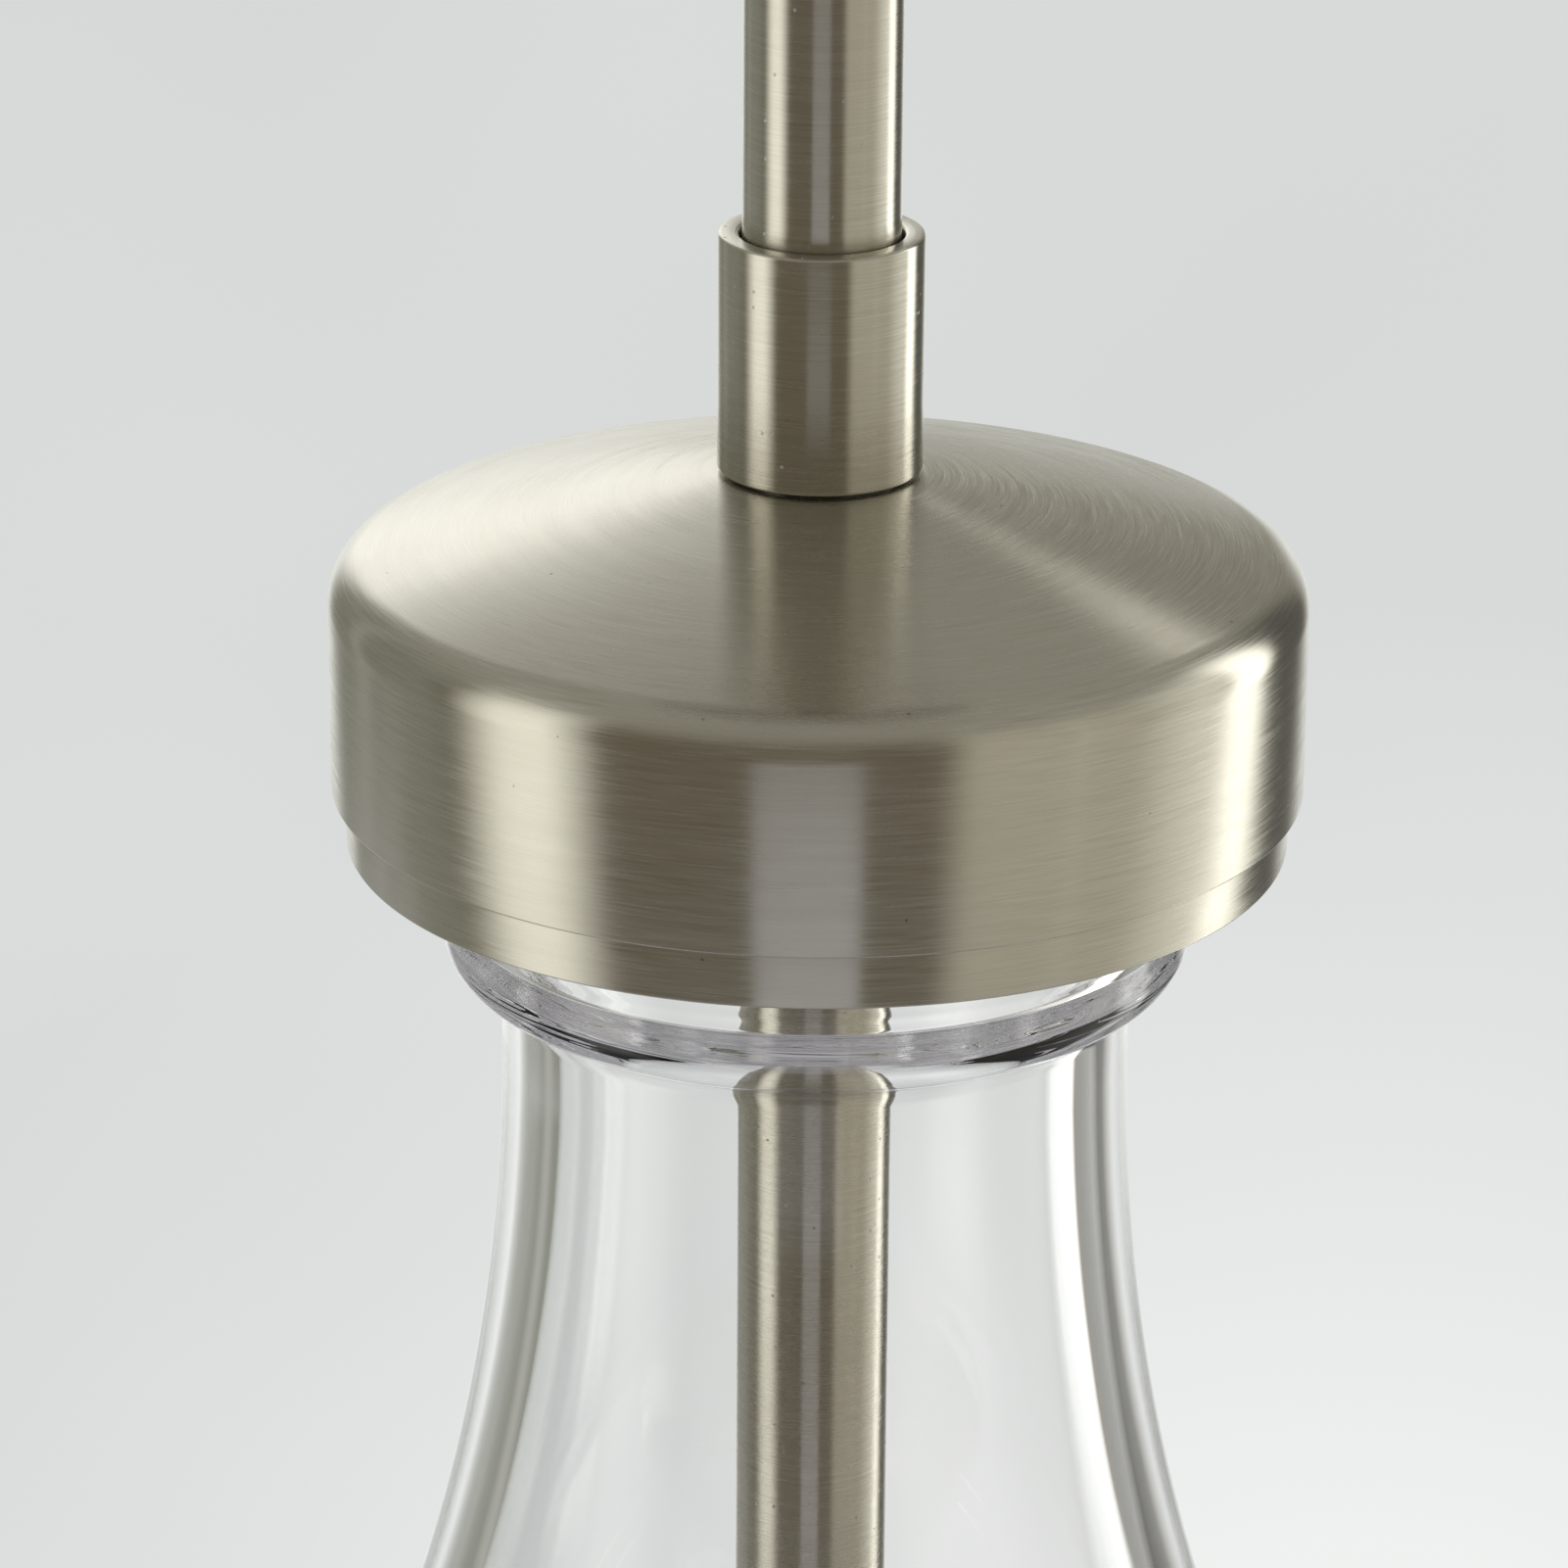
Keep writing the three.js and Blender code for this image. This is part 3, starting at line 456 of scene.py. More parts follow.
nickel = satin_nickel("satin_nickel", roughness=0.215, lines=1.0, dust=0.0)
nickel_tube = satin_nickel("satin_nickel_tube", roughness=0.23, lines=0.7, dust=0.07)
shade_glass = clear_glass("shade_glass", (0.995, 0.993, 1.0), 0.00002, RIM_Z - TOOL_MARKS)
bulb_clear = clear_glass("bulb_clear", (0.98, 0.98, 0.975), 0.000005)
zinc = plain_metal("zinc_plate", (0.42, 0.43, 0.44), (0.62, 0.63, 0.64), 0.38)
brass = plain_metal("plain_brass", (0.52, 0.36, 0.15), (0.76, 0.57, 0.28), 0.3)
aluminium = plain_metal("pressed_aluminium", (0.58, 0.59, 0.6), (0.78, 0.79, 0.8), 0.3)
rubber = moulded("black_rubber", (0.012, 0.012, 0.012), (0.03, 0.03, 0.03), 0.75)
phenolic = moulded("phenolic", (0.018, 0.016, 0.015), (0.035, 0.032, 0.03), 0.42)
green = moulded("green_paint", (0.03, 0.17, 0.07), (0.05, 0.24, 0.1), 0.35)
black_jacket = moulded("black_jacket", (0.012, 0.012, 0.013), (0.03, 0.03, 0.032), 0.5)
white_jacket = moulded("white_jacket", (0.66, 0.65, 0.6), (0.8, 0.79, 0.75), 0.5)
phosphor = moulded("filament_phosphor", (0.72, 0.42, 0.1), (0.85, 0.6, 0.22), 0.55)
steel_wire = plain_metal("steel_wire", (0.5, 0.5, 0.5), (0.7, 0.7, 0.7), 0.3)
copper = plain_metal("copper_strands", (0.6, 0.28, 0.15), (0.85, 0.45, 0.3), 0.35)


# ---------------------------------------------------------------- stem, cap, collar and holder

# Heights are in mm over the holder's rim.
CAP_RIM = 4.68
CAP_CORNER = 23.31
CAP_FILLET = 4.0
CAP_LAND_RADIUS = 8.6
CAP_LAND = 30.95
CAP_HOLE = 6.9
COLLAR_BORE = 6.6
HOLDER_TOP = 13.2
HOLDER_FILLET = 3.0
HOLDER_WALL = 1.0


def make_tube(name, node, material):
    loop = tube(TUBE_RADIUS, TUBE_BORE, height(node, 1), height(node, 0))
    place(turned(name, loop), node, material)


def make_cap():
    """Spun cap: a flat land round its hole, a shallow cone, a rounded shoulder and a straight side."""
    wide = radius("cap_shell")
    wall = wide - radius("glass_holder") - GAP
    skin = outline([(CAP_HOLE, CAP_LAND), (CAP_LAND_RADIUS, CAP_LAND), (wide, CAP_CORNER, CAP_FILLET),
                    (wide, CAP_RIM)], 24)
    place(turned("cap", sheet(skin, wall), base_z=RIM_Z), "cap_shell", nickel)


def make_collar():
    top, bottom = height("collar", 1), height("collar", 0)
    loop = tube(radius("collar"), COLLAR_BORE, top, bottom, 0.3)
    place(turned("collar_sleeve", loop), "collar", nickel_tube)


def make_holder():
    """Spun dish inside the cap, whose rim shows below it."""
    wide = radius("glass_holder")
    skin = outline([(NUT_BORE, HOLDER_TOP), (wide, HOLDER_TOP, HOLDER_FILLET), (wide, 0)], 14)
    place(turned("holder_dish", sheet(skin, HOLDER_WALL), base_z=RIM_Z), "glass_holder", nickel)


# ---------------------------------------------------------------- glass shade

GLASS_WALL = 4.8
GLASS_TOP = 9.9
GLASS_HOLE = 6.0
HEAD_RADIUS = 30.65
HEAD_FILLET = 4.0
HOLLOW_FILLET = 1.5
STEP_RADIUS = 3.5           # the round lower corner of the head
STEP_Z = -8.07
NECK_RADIUS = 25.9
NECK_FILLET = 2.4           # from the head's underside into the neck
SHOULDER_INSET = 1.0        # the shoulder inside the neck starts this far in from the head's hollow
SHOULDER_RISE = 0.15        # and the hollow's wall ends this far over it
SHOULDER_FILLET = 1.0
NECK_END = -18.0
FLARE_ARC = 178.0
FLARE_ANGLE = 42.0
BELL_ARC = 100.0
SKIRT_ARC = 640.0
SKIRT_HEIGHT = 46.0


def curves_of_shade():
    """Where the centres of the shade's arcs lie, as (radius, height), so that each runs into the next."""
    step = (HEAD_RADIUS - STEP_RADIUS, STEP_Z)
    fillet_r = NECK_RADIUS + NECK_FILLET
    reach = STEP_RADIUS + NECK_FILLET
    fillet = (fillet_r, STEP_Z - math.sqrt(reach ** 2 - (fillet_r - step[0]) ** 2))
    flare = (NECK_RADIUS + FLARE_ARC, NECK_END)
    turn = math.radians(FLARE_ANGLE)
    apart = FLARE_ARC + BELL_ARC
    bell = (flare[0] - apart * math.cos(turn), NECK_END - apart * math.sin(turn))
    skirt = (bell[0] + BELL_ARC + SKIRT_ARC, bell[1])
    return step, fillet, flare, bell, skirt


STEP, FILLET, FLARE, BELL, SKIRT = curves_of_shade()
SKIRT_SWEEP = math.degrees(math.asin(SKIRT_HEIGHT / SKIRT_ARC))


def head_outside():
    """From the hole over the round head, and round its step into the neck."""
    tangent = math.degrees(math.atan2(FILLET[1] - STEP[1], FILLET[0] - STEP[0]))
    head = outline([(GLASS_HOLE, GLASS_TOP), (HEAD_RADIUS, GLASS_TOP, HEAD_FILLET),
                    (HEAD_RADIUS, STEP_Z)], 14)
    head += arc(*STEP, STEP_RADIUS, 0, tangent, 20)[1:]
    return head + arc(*FILLET, NECK_FILLET, 180 + tangent, 180, 14)[1:]


def head_inside():
    """The hollow of the head, and the shoulder that follows the neck's fillet."""
    under = GLASS_TOP - GLASS_WALL
    inner = HEAD_RADIUS - GLASS_WALL
    bend = NECK_FILLET + GLASS_WALL
    start = 90 + math.degrees(math.asin((FILLET[0] - inner + SHOULDER_INSET) / bend))
    shoulder = arc(*FILLET, bend, start, 180, 24)
    corner_z = FILLET[1] + math.sqrt(bend ** 2 - (FILLET[0] - inner) ** 2) + SHOULDER_RISE
    hollow = outline([(GLASS_HOLE, under), (inner, under, HOLLOW_FILLET), (inner, corner_z, SHOULDER_FILLET),
                      shoulder[0]])
    return hollow + shoulder[1:]


def bell_skin(inset):
    """From the neck's end down to the rim, on the outside or a wall's thickness in from it."""
    points = arc(*FLARE, FLARE_ARC + inset, 180, 180 + FLARE_ANGLE, 60)
    points += arc(*BELL, BELL_ARC - inset, FLARE_ANGLE, 0, 40)[1:]
    return points + arc(*SKIRT, SKIRT_ARC + inset, 180, 180 + SKIRT_SWEEP, 14)[1:]


def shade_rim():
    """The round lower edge of the wall."""
    turn = math.radians(180 + SKIRT_SWEEP)
    middle = SKIRT_ARC + GLASS_WALL / 2
    centre_r = SKIRT[0] + middle * math.cos(turn)
    centre_z = SKIRT[1] + middle * math.sin(turn)
    return arc(centre_r, centre_z, GLASS_WALL / 2, SKIRT_SWEEP, SKIRT_SWEEP - 180, 16)[1:-1]


def make_shade():
    """Hollow round head, stepped in to a straight neck, then a concave flare, a convex bell and a
    swept skirt with a round rim. The wall has the same thickness everywhere."""
    inside = head_inside() + bell_skin(GLASS_WALL)
    loop = head_outside() + bell_skin(0) + shade_rim() + inside[::-1]
    place(turned("bell_glass", loop, base_z=RIM_Z), "glass_shade", shade_glass)


# ---------------------------------------------------------------- ceiling parts and swivel

CANOPY_FILLET = 6.0
CANOPY_WALL = 1.0
STUD_SPACING = 88.9
STUD_HOLE = 2.4
STUD_THREAD = (0.28, 0.7)       # depth and pitch
KNURLS = 48
KNURL_DEPTH = 0.28
SPIGOT_RADIUS = 12.7
SPIGOT_HOLE = 13.0
HOUSING_BORE = 11.3
HOUSING_RADIUS = 14.5
HOUSING_LIP = 10.2
HOUSING_LEDGE_Z = -35.0
FLANGE_END_Z = -25.5
BALL_CENTRE_Z = -26.5
BALL_RADIUS = 8.3
BALL_BORE = 3.2
PIN_RADIUS = 1.5
PIN_REACH = 9.9
NIPPLE_RADIUS = 4.9
NIPPLE_THREAD = (0.35, 0.94)    # depth and pitch
NECK_OF_BALL = 4.4
ROD_SHOULDER = 7.5
ROD_SHOULDER_Z = -41.5


def make_canopy():
    """Spun dish with two holes for the studs."""
    wide, bottom = radius("canopy"), height("canopy", 0)
    skin = outline([(wide, 0), (wide, bottom, CANOPY_FILLET), (SPIGOT_HOLE, bottom)], 16)
    dish = turned("canopy_cover", sheet(skin, CANOPY_WALL))
    for side in (-1, 1):
        y = side * STUD_SPACING / 2
        drill = rods("drill", [((0, y, bottom - 5), (0, y, bottom + 5), STUD_HOLE)], segments=32)
        hole = dish.modifiers.new("hole", "BOOLEAN")
        hole.object = drill
        bpy.context.view_layer.objects.active = dish
        bpy.ops.object.modifier_apply(modifier="hole")
        bpy.data.objects.remove(drill)
    place(dish, "canopy", nickel)


def move_to_stud(piece, side):
    """From the lamp's axis to the stud in front of it (side -1) or behind it (side 1)."""
    piece.location.y = side * STUD_SPACING / 2 * MM
    bpy.context.view_layer.update()


def make_canopy_nut(end, side):
    """Blind round nut: a flange, a knurled body and a domed end."""
    node = f"canopy_nut_{end}"
    top, low = height(node, 1), height(node, 0)
    hole_end = height(f"canopy_stud_{end}", 0) - GAP
    flange, ease = radius(node), 0.3
    flange_end = top - 1.8
    body = 5.0
    knurl_top = flange_end - 0.6
    knurl_end = low + 2.4
    loop = [(STUD_HOLE, top), (flange - ease, top), (flange, top - ease), (flange, flange_end + ease),
            (flange - ease, flange_end), (body, flange_end - 0.2)]
    loop += wall_points(body, knurl_top, knurl_end)
    loop += arc(0, low + 5.2, 5.2, -28, -90, 8) + [(0, hole_end), (STUD_HOLE, hole_end)]

    def knurl(turn, r, z):
        if r < body - 0.01 or not knurl_end < z < knurl_top:
            return 0
        return -KNURL_DEPTH * (0.5 + 0.5 * math.cos(KNURLS * turn)) ** 2

    nut = turned(f"thumb_nut_{end}", loop, segments=192, ripple=knurl)
    move_to_stud(nut, side)
    place(nut, node, nickel)


def make_stud(end, side):
    """Threaded stud between the bracket and a canopy nut."""
    node = f"canopy_stud_{end}"
    top, low = height(node, 1), height(node, 0)
    loop = [(0, low), (1.5, low)] + wall_points(2.0, low + 0.5, top - 0.3, 0.12) + [(1.7, top), (0, top)]
    wave = thread(*STUD_THREAD, low + 0.6, top - 0.4)
    stud = turned(f"threaded_stud_{end}", loop, segments=24, ripple=wave)
    move_to_stud(stud, side)
    place(stud, node, zinc)


def make_housing():
    """Spigot through the canopy, a flange under it, and a round cup that holds the seat."""
    top, low = height("swivel_housing", 1), height("swivel_housing", 0)
    flange = radius("swivel_housing")
    under_canopy = height("canopy", 0) - GAP
    loop = outline([(HOUSING_BORE, top, 0.2), (SPIGOT_RADIUS, top, 0.3), (SPIGOT_RADIUS, under_canopy),
                    (flange, under_canopy, 0.2), (flange, FLANGE_END_Z, 0.9),
                    (HOUSING_RADIUS, FLANGE_END_Z, 0.4), (HOUSING_RADIUS, low, 3), (HOUSING_LIP, low, 0.3),
                    (HOUSING_LIP, HOUSING_LEDGE_Z), (HOUSING_BORE, HOUSING_LEDGE_Z)], 8)
    place(turned("swivel_body", loop), "swivel_housing", nickel)


def make_ball():
    """Hollow ball on a neck, a round shoulder above the rod, and the thread inside the rod."""
    shoulder_end = height("upper_rod", 1) + GAP
    end = height("swivel_ball", 0)
    highest = math.degrees(math.acos(BALL_BORE / BALL_RADIUS))
    lowest = math.degrees(math.acos(NECK_OF_BALL / BALL_RADIUS))
    loop = arc(0, BALL_CENTRE_Z, BALL_RADIUS, highest, -lowest, 36)
    loop += outline([loop[-1], (NECK_OF_BALL, ROD_SHOULDER_Z, 0.6), (ROD_SHOULDER, ROD_SHOULDER_Z, 1.2),
                     (ROD_SHOULDER, shoulder_end, 0.2), (NIPPLE_RADIUS, shoulder_end)])[1:]
    loop += wall_points(NIPPLE_RADIUS, shoulder_end - 0.4, end + 0.4, 0.2) + [(BALL_BORE, end)]
    wave = thread(*NIPPLE_THREAD, end + 0.6, shoulder_end - RUN_OUT)

    def nipple_thread(turn, r, z):
        return wave(turn, r, z) if r > BALL_BORE + 1 and z < shoulder_end else 0

    place(turned("swivel_ball_neck", loop, segments=128, ripple=nipple_thread), "swivel_ball", nickel)


def make_swivel_pins():
    """The two pins at the ball's sides, which turn the seat with it."""
    pins = []
    for side in (-1, 1):
        inner = (side * (BALL_BORE + 1.6), 0, BALL_CENTRE_Z)
        outer = (side * (PIN_REACH - PIN_RADIUS), 0, BALL_CENTRE_Z)
        pins.append((inner, outer, PIN_RADIUS))
    place(rods("swivel_pins", pins), "swivel_ball", nickel, stands_for_it=False)


# ---------------------------------------------------------------- clamp stack, lamp holder and bulb

NUT_CHAMFER = 0.5
CUP_FILLET = 6.5
CUP_WALL = 1.0
INSULATOR_PLATE = 6.0
INSULATOR_BORE = 14.6
INSULATOR_CHAMFER = 3.5
SHELL_WALL = 0.5
SHELL_LIP = 11.0
SCREW_THREAD = (0.7, 3.63)  # depth and pitch
BASE_WALL = 0.5
BULB_WALL = 0.8
BULB_NECK = 12.3
BULB_THROAT = 11.7          # the neck inside the bulb's cap, clear of the thread
GLOBE_RADIUS = 30.0
BARED = 4.0                 # length of bare copper at either end of a lead
STRAND_RADIUS = 0.4


def make_nut(node, across):
    """Hexagon nut with chamfered corners. across is its width over the flats."""
    top, low = height(node, 1), height(node, 0)
    corner = across / math.sqrt(3)
    loop = [(NUT_BORE, low), (across / 2, low), (corner, low + NUT_CHAMFER), (corner, top - NUT_CHAMFER),
            (across / 2, top), (NUT_BORE, top)]
    place(turned(f"{node}_hex", loop, segments=96, ripple=hexagon(across)), node, zinc)


def make_disc(node, ease, material):
    """Flat washer with eased edges."""
    loop = tube(radius(node), NUT_BORE, height(node, 1), height(node, 0), ease)
    place(turned(f"{node}_disc", loop, segments=128), node, material)


def make_cup():
    """Spun cover over the lamp holder."""
    top, low, wide = height("socket_cup", 1), height("socket_cup", 0), radius("socket_cup")
    skin = outline([(NUT_BORE, top), (wide, top, CUP_FILLET), (wide, low)], 16)
    place(turned("socket_cover", sheet(skin, CUP_WALL), segments=192), "socket_cup", nickel)


def make_insulator():
    """Moulded body of the lamp holder: a plate above and an open skirt below."""
    node = "socket_insulator"
    top, low, wide = height(node, 1), height(node, 0), radius(node)
    plate = top - INSULATOR_PLATE
    loop = outline([(NUT_BORE, top), (wide - INSULATOR_CHAMFER, top, 0.4),
                    (wide, top - INSULATOR_CHAMFER, 0.6), (wide, low, 0.6), (INSULATOR_BORE, low, 0.4),
                    (INSULATOR_BORE, plate), (NUT_BORE, plate)], 5)
    place(turned("socket_body", loop, segments=128), node, phenolic)


def make_screw_shell():
    """Thin brass cup, open below, with the bulb's thread rolled into its wall."""
    node = "screw_shell"
    top, low, wide = height(node, 1), height(node, 0), radius(node)
    loop = [(SHELL_LIP, top), (wide - 0.4, top)] + wall_points(wide, top - 0.4, low)
    loop += wall_points(wide - SHELL_WALL, low, top - SHELL_WALL) + [(SHELL_LIP, top - SHELL_WALL)]
    wave = thread(*SCREW_THREAD, low + 0.5, top - 1.5)

    def wall_thread(turn, r, z):
        return wave(turn, r, z) if r > SHELL_LIP + 2 else 0

    place(turned("threaded_shell", loop, segments=128, ripple=wall_thread), node, brass)


def make_bulb_base():
    """The bulb's thin metal cap, with its thread, and a hole for the contact."""
    node = "bulb_base"
    top, low, wide = height(node, 1), height(node, 0), radius(node)
    bore = radius("bulb_contact") + 0.1
    skin = outline([(9.0, top), (wide - 0.6, top - 0.8, 0.8), (wide - 0.2, top - 2.6)], 5)
    skin += wall_points(wide, top - 3, low + 1.5) + [(wide - 0.15, low + 0.6), (wide - 0.15, low)]
    inner = []
    for r, z in skin:
        in_dome = r < wide - 0.5 and z > top - 3
        inner.append((max(r - BASE_WALL, bore), z - BASE_WALL if in_dome else z))
    wave = thread(*SCREW_THREAD, low + 2, top - 3.2)
    place(turned("bulb_cap", skin + inner[::-1], segments=128, ripple=wave), node, aluminium)


def make_bulb_contact():
    """Domed tip on a wider disc."""
    node = "bulb_contact"
    tip, end = height(node, 1), height(node, 0)
    loop = [(0, tip), (2.2, tip - 0.15), (3.6, tip - 0.6), (4.2, tip - 1.4)]
    loop += [(8.6, tip - 3.4), (8.6, end), (0, end)]
    place(turned("bulb_tip", loop, segments=64), node, brass)


def make_bulb_glass():
    """Round globe with a concave sweep up to its neck, which is narrower inside the cap."""
    node = "bulb_glass"
    top, end = height(node, 1), height(node, 0)
    globe = end + GLOBE_RADIUS
    cap_end = height("bulb_base", 0)
    bend_z = cap_end - 4.0
    drop = bend_z - globe
    sweep = (BULB_NECK ** 2 + drop ** 2 - GLOBE_RADIUS ** 2) / (2 * (GLOBE_RADIUS - BULB_NECK))
    angle = math.degrees(math.atan2(drop, BULB_NECK + sweep))

    def skin(inset):
        throat = BULB_THROAT - inset
        points = [(throat, top), (throat, cap_end + 2), (BULB_NECK - inset, cap_end)]
        points += arc(BULB_NECK + sweep, bend_z, sweep + inset, 180, 180 + angle, 24)
        points += arc(0, globe, GLOBE_RADIUS - inset, angle, -90, 72)[1:-1]
        return points + [(0, globe - GLOBE_RADIUS + inset)]

    loop = skin(0) + skin(BULB_WALL)[::-1]
    place(turned("bulb_envelope", loop, segments=160), node, bulb_clear)


def make_bulb_stem():
    """Solid glass foot that narrows down to the rod between the filaments."""
    node = "bulb_stem"
    top, end = height(node, 1), height(node, 0)
    loop = [(0, top), (9.2, top), (9.5, top - 0.4), (9.0, top - 1.4), (5.6, top - 5), (4.1, top - 9),
            (3.2, top - 22), (2.4, top - 32), (1.4, top - 34.6), (1.0, top - 36), (1.0, end), (0, end)]
    place(turned("bulb_foot", loop, segments=64), node, bulb_clear)


def make_filaments():
    """Four coated sticks that lean outwards, each held by wires from a post on the axis."""
    top, end = height("filaments", 1) - 1, height("filaments", 0) + 1
    top_reach, end_reach = 3.4, 7.5
    stick_radius, post_radius, wire_radius = 0.85, 0.5, 0.3
    sticks = []
    wires = [((0, 0, top), (0, 0, end), post_radius)]
    for i in range(4):
        turn = math.pi / 2 * i
        out = Vector((math.cos(turn), math.sin(turn), 0))
        upper = out * top_reach + Vector((0, 0, top))
        lower = out * end_reach + Vector((0, 0, end))
        reach = (lower - upper).normalized() * 1.6
        sticks.append((upper + reach, lower - reach, stick_radius))
        wires.append((upper, upper + reach, wire_radius))
        wires.append((lower - reach, lower, wire_radius))
        wires.append(((0, 0, top), upper, wire_radius))
        wires.append(((0, 0, end), lower, wire_radius))
    place(rods("filament_sticks", sticks), "filaments", phosphor)
    place(rods("filament_wires", wires, segments=10), "filaments", steel_wire, stands_for_it=False)


def make_lead(node, name, material):
    """A jacketed lead down the stem, with its copper bared at both ends."""
    low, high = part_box(node)
    x = (low.x + high.x) / 2 / MM
    size = (high.x - low.x) / 2 / MM
    top, end = high.z / MM, low.z / MM
    place(rods(name, [((x, 0, top - BARED), (x, 0, end + BARED), size)]), node, material)
    strands = [((x, 0, top - 1), (x, 0, top - BARED), STRAND_RADIUS),
               ((x, 0, end + 1), (x, 0, end + BARED), STRAND_RADIUS)]
    place(rods(name + "_copper", strands, segments=10), node, copper, stands_for_it=False)


# ---------------------------------------------------------------- CAD nodes that keep their own shape

KEPT_NODES = ["mounting_bracket", "ground_screw", "stud_locknut_front", "stud_locknut_rear", "swivel_locknut",
              "swivel_seat", "cap_stop_ring", "stop_ring_screw", "stem_nipple", "socket_nipple",
              "socket_locknut", "centre_contact"]
BROKEN_EDGE = 0.1           # mm
SHARPER_THAN = 50           # degrees


def finish_kept_nodes():
    """Gives each CAD node that still shows its finished material and slightly broken edges."""
    by_slot = {"zinc_steel": zinc, "brass": brass, "ground_green": green, "satin_nickel": nickel}
    for node in KEPT_NODES:
        piece = frame["nodes"][node]
        for holder in piece.material_slots:
            holder.material = by_slot[slot_of(node)]
        edge = piece.modifiers.new("broken_edge", "BEVEL")
        edge.width = BROKEN_EDGE * MM
        edge.segments = 2
        edge.limit_method = "ANGLE"
        edge.angle_limit = math.radians(SHARPER_THAN)


# ---------------------------------------------------------------- camera, stage and light

CAMERA_BACK = 0.50095       # in front of the axis
CAMERA_SIDE = -0.0027
CAMERA_UP = 0.19412         # above the holder's rim
CAMERA_PITCH = 20.797       # degrees below the horizon
CAMERA_ROLL = 0.4           # degrees
CAMERA_LENS = 150.4         # mm
FLOOR_Z = -1.6
PAPER_REACH = 4.0           # how far off the paper stands, and how high it goes
PAPER_BEND = 1.5            # the round bend between floor and wall
PAPER_TONE = (0.70, 0.725, 0.72)
PAPER_SHADE = (0.65, 0.67, 0.66)
# The colour of the painted pool of light on the paper.
PAINTED_POOL_LIGHT = (0.885, 0.90, 0.89)
PAINTED_LIGHT_POOL = (0.3, 2.45, FLOOR_Z)       # where the painted pool of light is brightest
REFLECTIONS_IN_GLASS = 28
OTHER_BOUNCES = 8           # left over for what the light meets outside the glass


def make_camera():
    camera = bpy.data.objects.new("camera", bpy.data.cameras.new("camera"))
    bpy.context.collection.objects.link(camera)
    camera.data.lens = CAMERA_LENS
    camera.data.clip_start = 0.01
    camera.location = (CAMERA_SIDE, -CAMERA_BACK, RIM_Z * MM + CAMERA_UP)
    pitch = Matrix.Rotation(math.radians(90 - CAMERA_PITCH), 3, "X")
    roll = Matrix.Rotation(math.radians(CAMERA_ROLL), 3, "Z")
    camera.rotation_euler = (pitch @ roll).to_euler()
    bpy.context.scene.camera = camera


def pale_paper(name):
    """Evenly glowing seamless paper with a painted pool of light, brighter low on the right. Reflections look
    past it, at the room."""
    m = Nodes(bpy.data.materials.new(name))
    where = m.where()
    cloud = m.stretch(m.noise(where, 1.2, 2), 0.3, 0.7, 0.0, 1.0)
    tone = m.blend(cloud, PAPER_SHADE, PAPER_TONE)
    away = m.add("ShaderNodeVectorMath", operation="DISTANCE")
    m.join(where, away.inputs[0])
    away.inputs[1].default_value = PAINTED_LIGHT_POOL
    # The painted pool of light: the paper glows brighter the nearer it is to the pool's centre.
    tone = m.blend(m.stretch(away.outputs["Value"], 0.1, 0.9, 0.9, 0.0), tone, PAINTED_POOL_LIGHT)
    m.join(tone, m.shader.inputs["Emission Color"])
    m.sockets(Roughness=0.9, Base_Color=(0, 0, 0, 1), Specular_IOR_Level=0.0, Emission_Strength=1.0)
    bounces = m.add("ShaderNodeLightPath").outputs["Glossy Depth"]
    mix = m.add("ShaderNodeMixShader")
    m.join(m.maths("GREATER_THAN", bounces, 0.5), mix.inputs[0])
    m.join(m.shader.outputs[0], mix.inputs[1])
    m.join(m.add("ShaderNodeBsdfTransparent").outputs[0], mix.inputs[2])
    m.join(mix.outputs[0], m.tree.nodes["Material Output"].inputs[0])
    return m.material


def make_stage():
    """A pale floor that curves up into a wall all round the lamp."""
    outer = PAPER_REACH + 0.05
    under = FLOOR_Z - 0.05
    section = [(0, under), (outer, under), (outer, PAPER_REACH), (PAPER_REACH, PAPER_REACH)]
    section += arc(PAPER_REACH - PAPER_BEND, FLOOR_Z + PAPER_BEND, PAPER_BEND, 0, -90, 24) + [(0, FLOOR_Z)]
    floor = turned("floor_bowl", [(r / MM, z / MM) for r, z in section], segments=96)
    floor.data.materials.append(pale_paper("pale_paper"))


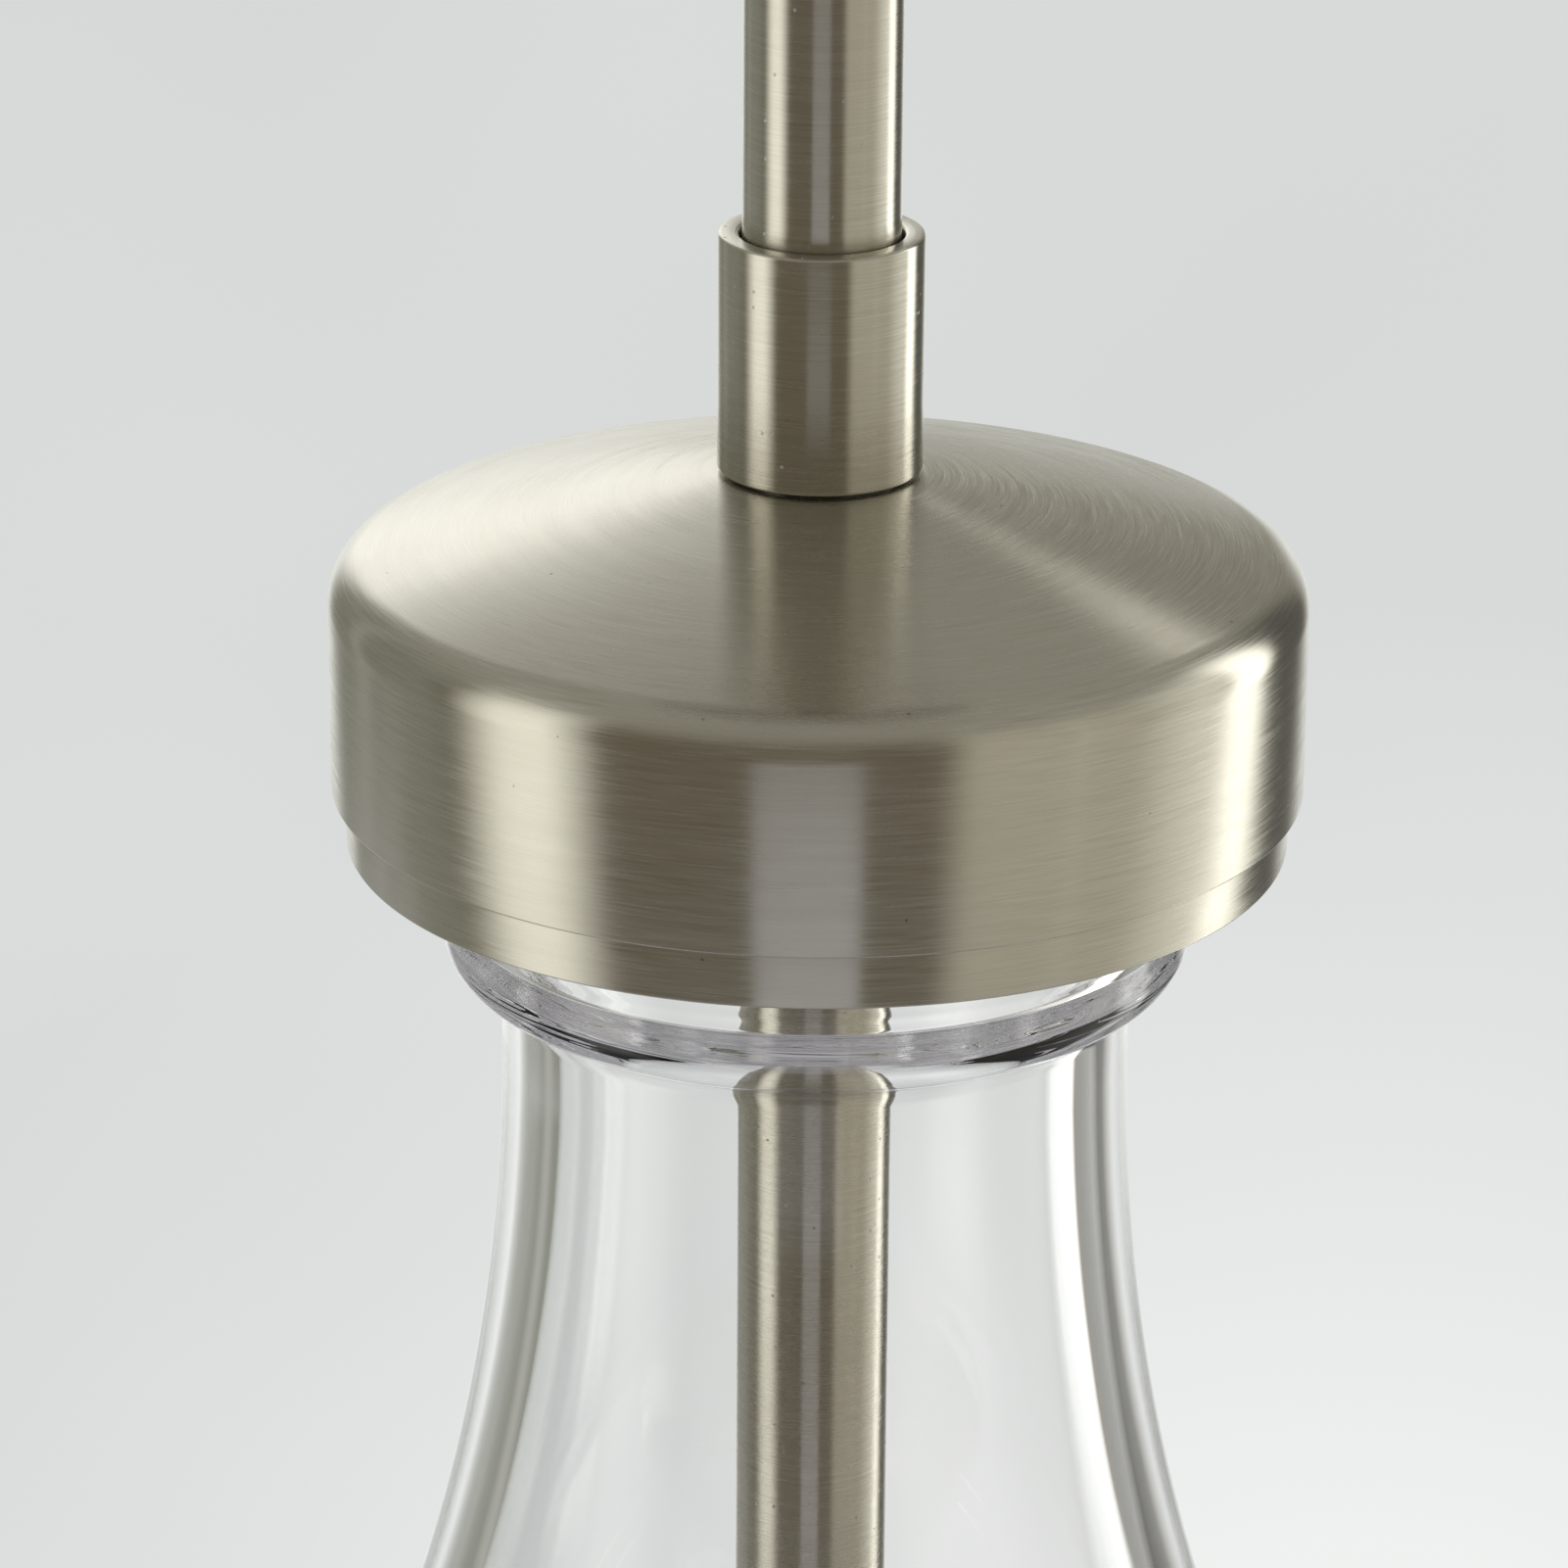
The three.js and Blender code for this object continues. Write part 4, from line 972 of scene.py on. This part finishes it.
# What the metal and the glass reflect, in degrees. The first three numbers are where a panel starts
# and ends and how soft its edges are, turning from the camera's side: 90 is the right, -90 the left.
# The next three are the same for its height above the horizon, and the last three are its colour.
FULL_HEIGHT = (-100, 100, 5)
ROOM_DIM = (0.16, 0.14, 0.105)
ROOM_PANELS = [
    ((-200, -154, 7), FULL_HEIGHT, (1.0, 1.02, 1.0)),             # paper behind, left
    ((-154, -96, 6), FULL_HEIGHT, (0.26, 0.265, 0.225)),          # left wall
    ((-135, -129, 2), FULL_HEIGHT, (0.40, 0.40, 0.36)),           # a seam in it
    ((-86, -58, 7), FULL_HEIGHT, (1.35, 1.34, 1.25)),             # left soft box
    ((-15.5, 10.5, 0.7), (-60, -19.5, 1.2), (0.56, 0.56, 0.59)),  # window behind the camera
    ((32, 95, 4), FULL_HEIGHT, (0.53, 0.505, 0.43)),              # right wall
    ((88, 112, 9), FULL_HEIGHT, (0.90, 0.885, 0.81)),             # its lit end
    ((61.5, 63, 0.5), FULL_HEIGHT, (0.66, 0.64, 0.57)),           # a seam in it
    ((109, 125, 2.5), FULL_HEIGHT, (2.3, 2.3, 2.2)),              # right soft box
    ((129, 151, 2), FULL_HEIGHT, (0.12, 0.12, 0.11)),             # dark flag
    ((157, 200, 6), FULL_HEIGHT, (1.0, 1.02, 1.0)),               # paper behind, right
    ((-200, -157, 5), (4, 27, 5), (1.45, 1.45, 1.42)),            # lamp on the paper, left
    ((150, 184, 5), (4, 100, 5), (0.30, 0.29, 0.25)),             # shade above the paper, right
    ((-200, 200, 5), (32, 100, 9), (0.36, 0.35, 0.31)),           # ceiling
    ((160, 164, 0.8), (32, 37, 1), (2.4, 2.35, 2.2)),             # small lamp
    ((-152, -118, 4), (-60, -23.4, 0.6), (0.45, 0.45, 0.44)),     # lit skirting on the left
    ((-200, 200, 5), (-100, -44, 6), (0.36, 0.355, 0.375)),       # table top
]


def make_room():
    """The room around the lamp, which its metal and glass reflect: panels over an even, dim tone."""
    world = bpy.data.worlds.new("studio")
    bpy.context.scene.world = world
    room = Nodes(world)
    direction = room.add("ShaderNodeTexCoord").outputs["Generated"]
    x, y, z = room.split(direction)
    azimuth = room.maths("DEGREES", room.maths("ARCTAN2", x, room.maths("MULTIPLY", y, -1)))
    rise = room.maths("DEGREES", room.maths("ARCSINE", z))

    def window(value, start, end, soft):
        opening = room.stretch(value, start - soft, start + soft, 0, 1)
        closing = room.stretch(value, end - soft, end + soft, 1, 0)
        return room.maths("MULTIPLY", opening, closing)

    tone = ROOM_DIM
    for (start, end, soft), (low, high, fade), colour in ROOM_PANELS:
        seen = room.maths("MULTIPLY", window(azimuth, start, end, soft), window(rise, low, high, fade))
        tone = room.blend(seen, tone, colour)
    room.join(tone, room.tree.nodes["Background"].inputs[0])


def softbox(name, location, target, size, power):
    """An area light that shows in no reflection and through no glass."""
    light = bpy.data.lights.new(name, "AREA")
    light.shape = "RECTANGLE"
    light.size, light.size_y = size
    light.energy = power
    lamp = bpy.data.objects.new(name, light)
    bpy.context.collection.objects.link(lamp)
    lamp.location = location
    lamp.rotation_euler = (Vector(target) - Vector(location)).to_track_quat("-Z", "Y").to_euler()
    lamp.visible_camera = False
    lamp.visible_glossy = False
    lamp.visible_transmission = False


def follow_light_in_glass():
    """Light that enters the glass head is reflected many times inside its wall before it gets out."""
    paths = bpy.context.scene.cycles
    paths.glossy_bounces = REFLECTIONS_IN_GLASS
    paths.transmission_bounces = REFLECTIONS_IN_GLASS
    paths.max_bounces = REFLECTIONS_IN_GLASS + OTHER_BOUNCES


def make_light():
    """The paper and the room give their own light. This one adds to the dull parts alone: rubber, paint
    and moulded plastic."""
    bpy.context.scene.view_settings.view_transform = "Standard"
    softbox("fill", location=(1.2, 0.5, 1.8), target=(0.6, 1.6, FLOOR_Z), size=(1.5, 1.5), power=40)


make_camera()
make_stage()
make_room()
make_light()
follow_light_in_glass()
make_tube("rod_tube", "upper_rod", nickel_tube)
make_tube("stem_tube", "inner_tube", nickel_tube)
make_cap()
make_collar()
make_holder()
make_shade()
make_canopy()
for end, side in (("front", -1), ("rear", 1)):
    make_canopy_nut(end, side)
    make_stud(end, side)
make_housing()
make_ball()
make_swivel_pins()
make_nut("rod_locknut", 14)
make_nut("retaining_nut", 16)
make_disc("upper_gasket", 0.5, rubber)
make_disc("lower_gasket", 0.4, rubber)
make_disc("retaining_washer", 0.2, zinc)
make_cup()
make_insulator()
make_screw_shell()
make_bulb_base()
make_bulb_contact()
make_bulb_glass()
make_bulb_stem()
make_filaments()
make_lead("live_lead", "live_wire", black_jacket)
make_lead("neutral_lead", "neutral_wire", white_jacket)
finish_kept_nodes()
